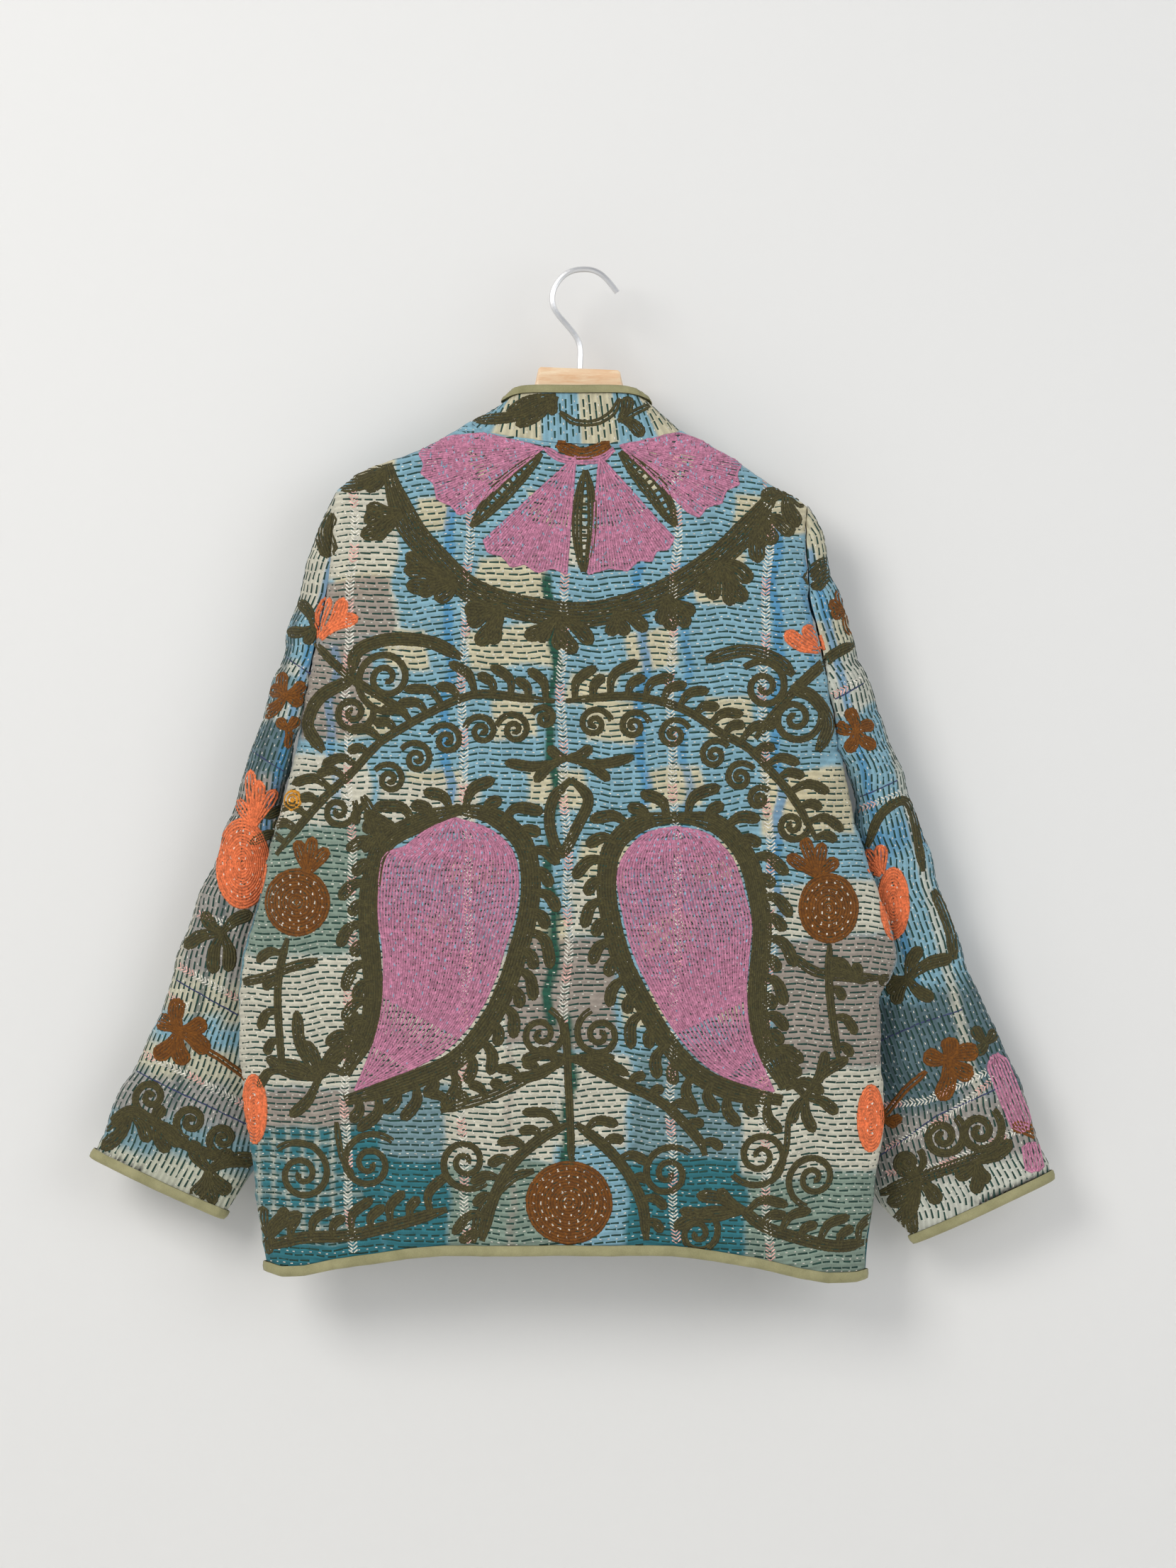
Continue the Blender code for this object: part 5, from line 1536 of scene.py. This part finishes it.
def grains(name, rows, surface):
    """One mesh of small raised stitches, each a ridge with sloping sides and ends, with painted shade at its
    foot and a painted highlight on its top.
    """
    a, b, normal = rows[:, 0:3], rows[:, 3:6], rows[:, 6:9]
    half, height = rows[:, 9:10] / 2, rows[:, 10:11]
    across = unit(np.cross(b - a, normal)) * half
    low = normal * STITCH_LIFT
    ridge = normal * height
    inset = (b - a) * RIDGE_INSET
    points = np.stack([a + across * END_WIDTH + low, a - across * END_WIDTH + low,
                       b + across + low, b - across + low,
                       a + inset + ridge, b - inset + ridge], axis=1)
    corner = np.arange(len(rows))[:, None] * 6
    faces = np.concatenate([corner + np.array(f) for f in RIDGE_FACES])
    dye = rng.uniform(*STITCH_DYE, (len(rows), 1, 1))
    # Painted shade and highlight: each point's colour is darker at the ridge's foot and lighter at its top,
    # times the stitch's own dye
    tint = np.array(RIDGE_PAINTED_LIGHT)[None, :, None] * dye * np.ones((1, 1, 3))
    made = mesh_piece(name, points, faces, surface, tint, smooth_shade=False)
    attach(made, "root")
    return made


def lay_on_cloth(tree, cloth_count, rows):
    """Stitches of the picture plane, laid on the first cloth behind them, where that isn't a binding."""
    ends = to_mm(rows[:, :4].reshape(-1, 2, 2))
    out = []
    toward = Vector((0, 1, 0))
    for n in range(len(rows)):
        hits = []
        for x, z in ends[n]:
            place, normal, face, _ = tree.ray_cast(Vector((x, BEHIND, z)), toward)
            hits.append((place if face is not None and face < cloth_count else None, normal))
        (p, p_out), (q, q_out) = hits
        if p is None or q is None or (p - q).length > STRETCH * np.linalg.norm(ends[n, 0] - ends[n, 1]) + 1:
            continue
        normal = (p_out + q_out).normalized()
        if normal.y > 0:
            normal = -normal
        out.append((*p, *q, *normal, rows[n, 4] * UNIT, rows[n, 5]))
    return np.array(out)


# The back's two pieces
cloth = cloth_material("quilted_plaid")
binding = binding_material()
t = np.linspace(0, 1, BACK_COLUMNS)
back = back_points(0.7 * t + 0.3 * (1 - np.cos(math.pi * t)) / 2)
upper, lower = split_back(back)
for name, grid, cut in (("back_upper", upper, (0.50, 0.53)), ("back_lower", lower, (0.56, 0.50))):
    out = turned(normals_of(grid), (0, -1, 0))
    grid = rippled(grid, out, RIPPLES)
    from_seam = np.abs(grid[..., 2] - seam_height(grid[..., 0]))
    grid = grid - out * (SEAM_DIP[0] * np.exp(-(from_seam / SEAM_DIP[1]) ** 2))[..., None]
    u, v = to_picture(grid[..., 0], grid[..., 2])
    add_panel(name, grid, out, quilt_rows(grid[..., 0], grid[..., 2]), cloth_tint(u, v), cut)

# The fronts
for side in ("left", "right"):
    grid = resampled(front_points(side, np.linspace(0, 1, FRONT_COLUMNS)), FRONT_ROWS)
    out = turned(normals_of(grid), (0, 1, 0))
    grid = rippled(grid, out, RIPPLES)
    u, v = to_picture(grid[..., 0], grid[..., 2])
    row = quilt_rows(grid[..., 0], grid[..., 2])
    add_panel(f"front_{side}", grid, out, row, cloth_tint(2 * CENTRE_X - u, v), (0.30, 0.70))

# The sleeves
cuffs = {}
for side, way in (("left", -1), ("right", 1)):
    coarse = sleeve_points(side, back, front_points(side, np.array([0.0, 0.01])))
    grid = np.transpose(catmull(coarse, SLEEVE_STEPS), (1, 0, 2))
    out = turned(normals_of(grid), (way, 0, 0))
    fade = np.minimum(np.arange(grid.shape[1]) / (SHOULDER_FADE - 1), 1)
    lift = waves(grid[..., 0], grid[..., 2], ARM_RIPPLES) * fade
    grid = grid + out * lift[..., None]
    grid[..., 0] += SLEEVE_EASE * way
    cuff = grid[:, -1].copy()
    grid[:, -1] = cuff - unit(cuff - grid[:, -2]) * CUFF_EDGE
    cuffs[side] = (grid[:, -1], cuff, out[:, -1])
    steps = np.linalg.norm(np.diff(grid, axis=0), axis=-1)
    walked = np.concatenate([np.zeros((1, grid.shape[1])), np.cumsum(steps, axis=0)])
    row = (walked - walked[ARM_ROUND // 2]) / ROW_PITCH
    u, v = to_picture(grid[..., 0], grid[..., 2])
    add_panel(f"sleeve_{side}", grid, out, row, sleeve_tint(side, u, v), (0.27, 0.64))


def band_lines():
    """The band's seam line and its free edge, up the left front, round the neck and down the right front."""
    collar = catmull(BACK_COLLAR, BACK_BAND_STEPS)
    seam, free = {}, {}
    for side, order in (("left", -1), ("right", 1)):
        line = panels[f"front_{side}"][:, -1]
        ways = [
            read(NECKLINE[side], NECKLINE_COLUMNS, "z", name, line[:, 2])
            for name in ("across", "forward", "up")
        ]
        way = np.stack(ways, axis=-1) * (-order, 1, 1)
        seam[side] = line[1:][::order]
        free[side] = (line + way)[1:][::order]
    return (
        np.concatenate([seam["left"], collar[:, :3], seam["right"]]),
        np.concatenate([free["left"], collar[:, 3:], free["right"]]),
    )


# The band
seam, free = band_lines()
way = free - seam
width = np.linalg.norm(way, axis=-1, keepdims=True)
shares = np.linspace(0, 1, BAND_COLUMNS)
band = seam[:, None] + (way * (1 - BAND_EDGE / width))[:, None] * shares[None, :, None]
band_out = turned(normals_of(band), (0, -1, 0))
band = band + band_out * (BAND_SWELL * np.sin(math.pi * shares))[None, :, None]
walked = lengths_along(seam + way / 2)
row = np.repeat((walked / ROW_PITCH)[:, None], BAND_COLUMNS, axis=1)
tint = band_tint(walked, band)
add_panel("collar_band", band, band_out, row, tint, (1.62, 0.055), drift=walked[:, None] * 0.6)

# The bindings of the band, of the hem from front edge to front edge, and of the cuffs
binding_strip("band_binding", band[:, -1], free, band_out[:, -1])
low = panels["back_lower"]
low_out = turned(normals_of(low), (0, -1, 0))
left_edge = panels["front_left"][-1, -2:0:-1]
right_edge = panels["front_right"][-1, 1:-1]
forward = np.broadcast_to((0.0, 1.0, 0.0), left_edge.shape)
hem = np.concatenate([band[0, ::-1], left_edge, low[-1], right_edge, band[-1]])
hem_out = unit(np.concatenate([band_out[0, ::-1], forward, low_out[-1], forward, band_out[-1]]))
hem_out = unit(hem_out + np.roll(hem_out, 1, axis=0) + np.roll(hem_out, -1, axis=0))
hem_out[:, 2] = 0
binding_strip("hem_binding", hem, hem + (0, 0, -HEM_EDGE), unit(hem_out))
for side, (start, finish, out) in cuffs.items():
    binding_strip(f"cuff_binding_{side}", start[:-1], finish[:-1], out[:-1], closed=True)

# The hanger
for name, surface in (("hanger_bar", wood_material()), ("hanger_hook", metal_material())):
    found = bpy.data.objects[name]
    found.data.materials.clear()
    found.data.materials.append(surface)

# Motifs on the back and the sleeves
for apex, end in PETALS:
    petal("pink", apex, end)
for left, right in PAISLEYS:
    spread("pink", catmull(left, 6), catmull(right, 6))
    field_specks(catmull(left, 6), catmull(right, 6))
tape("olive", GARLAND, GARLAND_HALF)
for root, tips, half in CLUSTERS:
    cluster("olive", root, tips, half)
for spine, half in PODS:
    pod("olive", spine, half)
for path, side in FRAMES:
    line = tape("olive", path, FRAME_HALF, FRAME_TAPER)
    leafy("olive", line, side, *FRAME_LEAVES)
for path, half, side, length, pitch in BRANCHES:
    line = tape("olive", path, half / 2 + BRANCH_MORE)
    leafy("olive", line, side, length * BRANCH_REACH, pitch * BRANCH_PITCH, BRANCH_LEAF)
for path, half in STEMS:
    tape("olive", path, half)
for centre, radius, start, turns, half in CURLS + ARM_CURLS:
    curl("olive", centre, radius * CURL_REACH, start, turns, half * CURL_WIDTH)
for sizes in FRUITS:
    fruit("rust", *sizes)
for thread, *sizes in ARM_FRUITS:
    fruit(thread, *sizes)
for thread, root, tips, half in ARM_CLUSTERS + BODY_EXTRAS:
    cluster(thread, root, tips, half)
for thread, path, half in ARM_STEMS + BODY_BANDS:
    tape(thread, path, half)
for path in NAVY_LINES:
    chain("navy", path, *NAVY_CHAIN)
for path in ARM_BANDS:
    slanted(path, ARM_SLANT_HALF)
for at, top, bottom in SLANTS:
    v = np.linspace(top, bottom, 60)
    slanted(np.stack([at + 5 * np.sin(v / 90) + 2 * np.sin(v / 23), v], axis=-1), SLANT_HALF)
for centre, across, tall in OVALS:
    fruit("orange", centre, across, tall, (), centre)

# The stitches are laid on the cloth, and left out where a binding covers them
tree_points, tree_faces, start = [], [], 0
cloth_count = sum(len(grid_faces(*grid.shape[:2])) for grid in panels.values())
for grid, closed in [(grid, False) for grid in panels.values()] + edges:
    rows, columns = grid.shape[:2]
    tree_faces.extend((grid_faces(rows, columns, closed) + start).tolist())
    tree_points.extend(grid.reshape(-1, 3).tolist())
    start += rows * columns
tree = BVHTree.FromPolygons(tree_points, tree_faces)
for thread, rows in sewn.items():
    if rows:
        laid[thread].append(lay_on_cloth(tree, cloth_count, np.concatenate(rows)))
for thread, rgb in THREADS.items():
    name = f"{thread}_thread"
    made = grains(name, np.concatenate(laid[thread]), thread_material(name, rgb))


# Staging: a pale wall behind that only its face shows, and a floor well below
WALL_HALF = 1400.0
WALL_TOP = 900.0
WALL_AT = 62.0
FLOOR_AT = -1350.0
FLOOR_REACH = 3600.0


def stage_plane(name, corners, surface):
    """A large plane of the studio, which is no piece of the part."""
    made = mesh_piece(name, corners, [(0, 1, 2, 3)], surface, smooth_shade=False)
    made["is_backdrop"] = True


wall_paint, tree, shader = new_material("wall_paint", roughness=0.95)
shader.inputs["Base Color"].default_value = (*linear((241, 240, 237)), 1)
facing = tree.nodes.new("ShaderNodeNewGeometry")
clear = tree.nodes.new("ShaderNodeBsdfTransparent")
mixed = tree.nodes.new("ShaderNodeMixShader")
tree.links.new(facing.outputs["Backfacing"], mixed.inputs["Fac"])
tree.links.new(shader.outputs["BSDF"], mixed.inputs[1])
tree.links.new(clear.outputs["BSDF"], mixed.inputs[2])
tree.links.new(mixed.outputs[0], tree.nodes["Material Output"].inputs["Surface"])
floor_paint, _, floor_shader = new_material("floor_paint", roughness=0.9)
floor_shader.inputs["Base Color"].default_value = (*linear((244, 243, 240)), 1)
stage_plane("wall", [(-WALL_HALF, WALL_AT, FLOOR_AT), (WALL_HALF, WALL_AT, FLOOR_AT),
                     (WALL_HALF, WALL_AT, WALL_TOP), (-WALL_HALF, WALL_AT, WALL_TOP)], wall_paint)
stage_plane("floor", [(-WALL_HALF, -FLOOR_REACH, FLOOR_AT), (WALL_HALF, -FLOOR_REACH, FLOOR_AT),
                      (WALL_HALF, WALL_AT, FLOOR_AT), (-WALL_HALF, WALL_AT, FLOOR_AT)], floor_paint)


def area_light(name, place, aim, size, power, colour):
    """A soft square light that looks at a point; places in millimetres."""
    light = bpy.data.lights.new(name, "AREA")
    light.shape = "SQUARE"
    light.size = size * MM
    light.energy = power
    light.color = colour
    made = bpy.data.objects.new(name, light)
    made.location = Vector(place) * MM
    made.rotation_euler = (Vector(aim) - Vector(place)).to_track_quat("-Z", "Y").to_euler()
    bpy.context.scene.collection.objects.link(made)


MIDDLE = (0.0, -20.0, -436.0)
CAMERA_AT = (5.7, -3154.0, -436.0)
area_light("key", (-1500, -2300, 900), MIDDLE, 1300, 40.0, (1.0, 0.985, 0.96))
area_light("fill", (1700, -2100, 100), MIDDLE, 1600, 15.0, (0.96, 0.98, 1.0))
area_light("rim", (900, 2200, 700), MIDDLE, 1600, 34.0, (1.0, 1.0, 1.0))

scene = bpy.context.scene
world = bpy.data.worlds.new("studio")
scene.world = world
world.use_nodes = True
world.node_tree.nodes["Background"].inputs["Color"].default_value = (0.93, 0.95, 1.0, 1)
world.node_tree.nodes["Background"].inputs["Strength"].default_value = 0.42
scene.view_settings.view_transform = "Standard"

camera = bpy.data.cameras.new("camera")
camera.lens = 85
camera.sensor_width = 36
camera_object = bpy.data.objects.new("camera", camera)
camera_object.location = Vector(CAMERA_AT) * MM
camera_object.rotation_euler = (math.pi / 2, 0, 0)
scene.collection.objects.link(camera_object)
scene.camera = camera_object

low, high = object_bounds()
({"cad": [list(map(float, cad_low)), list(map(float, cad_high))],
           "all": [list(map(float, low)), list(map(float, high))]})
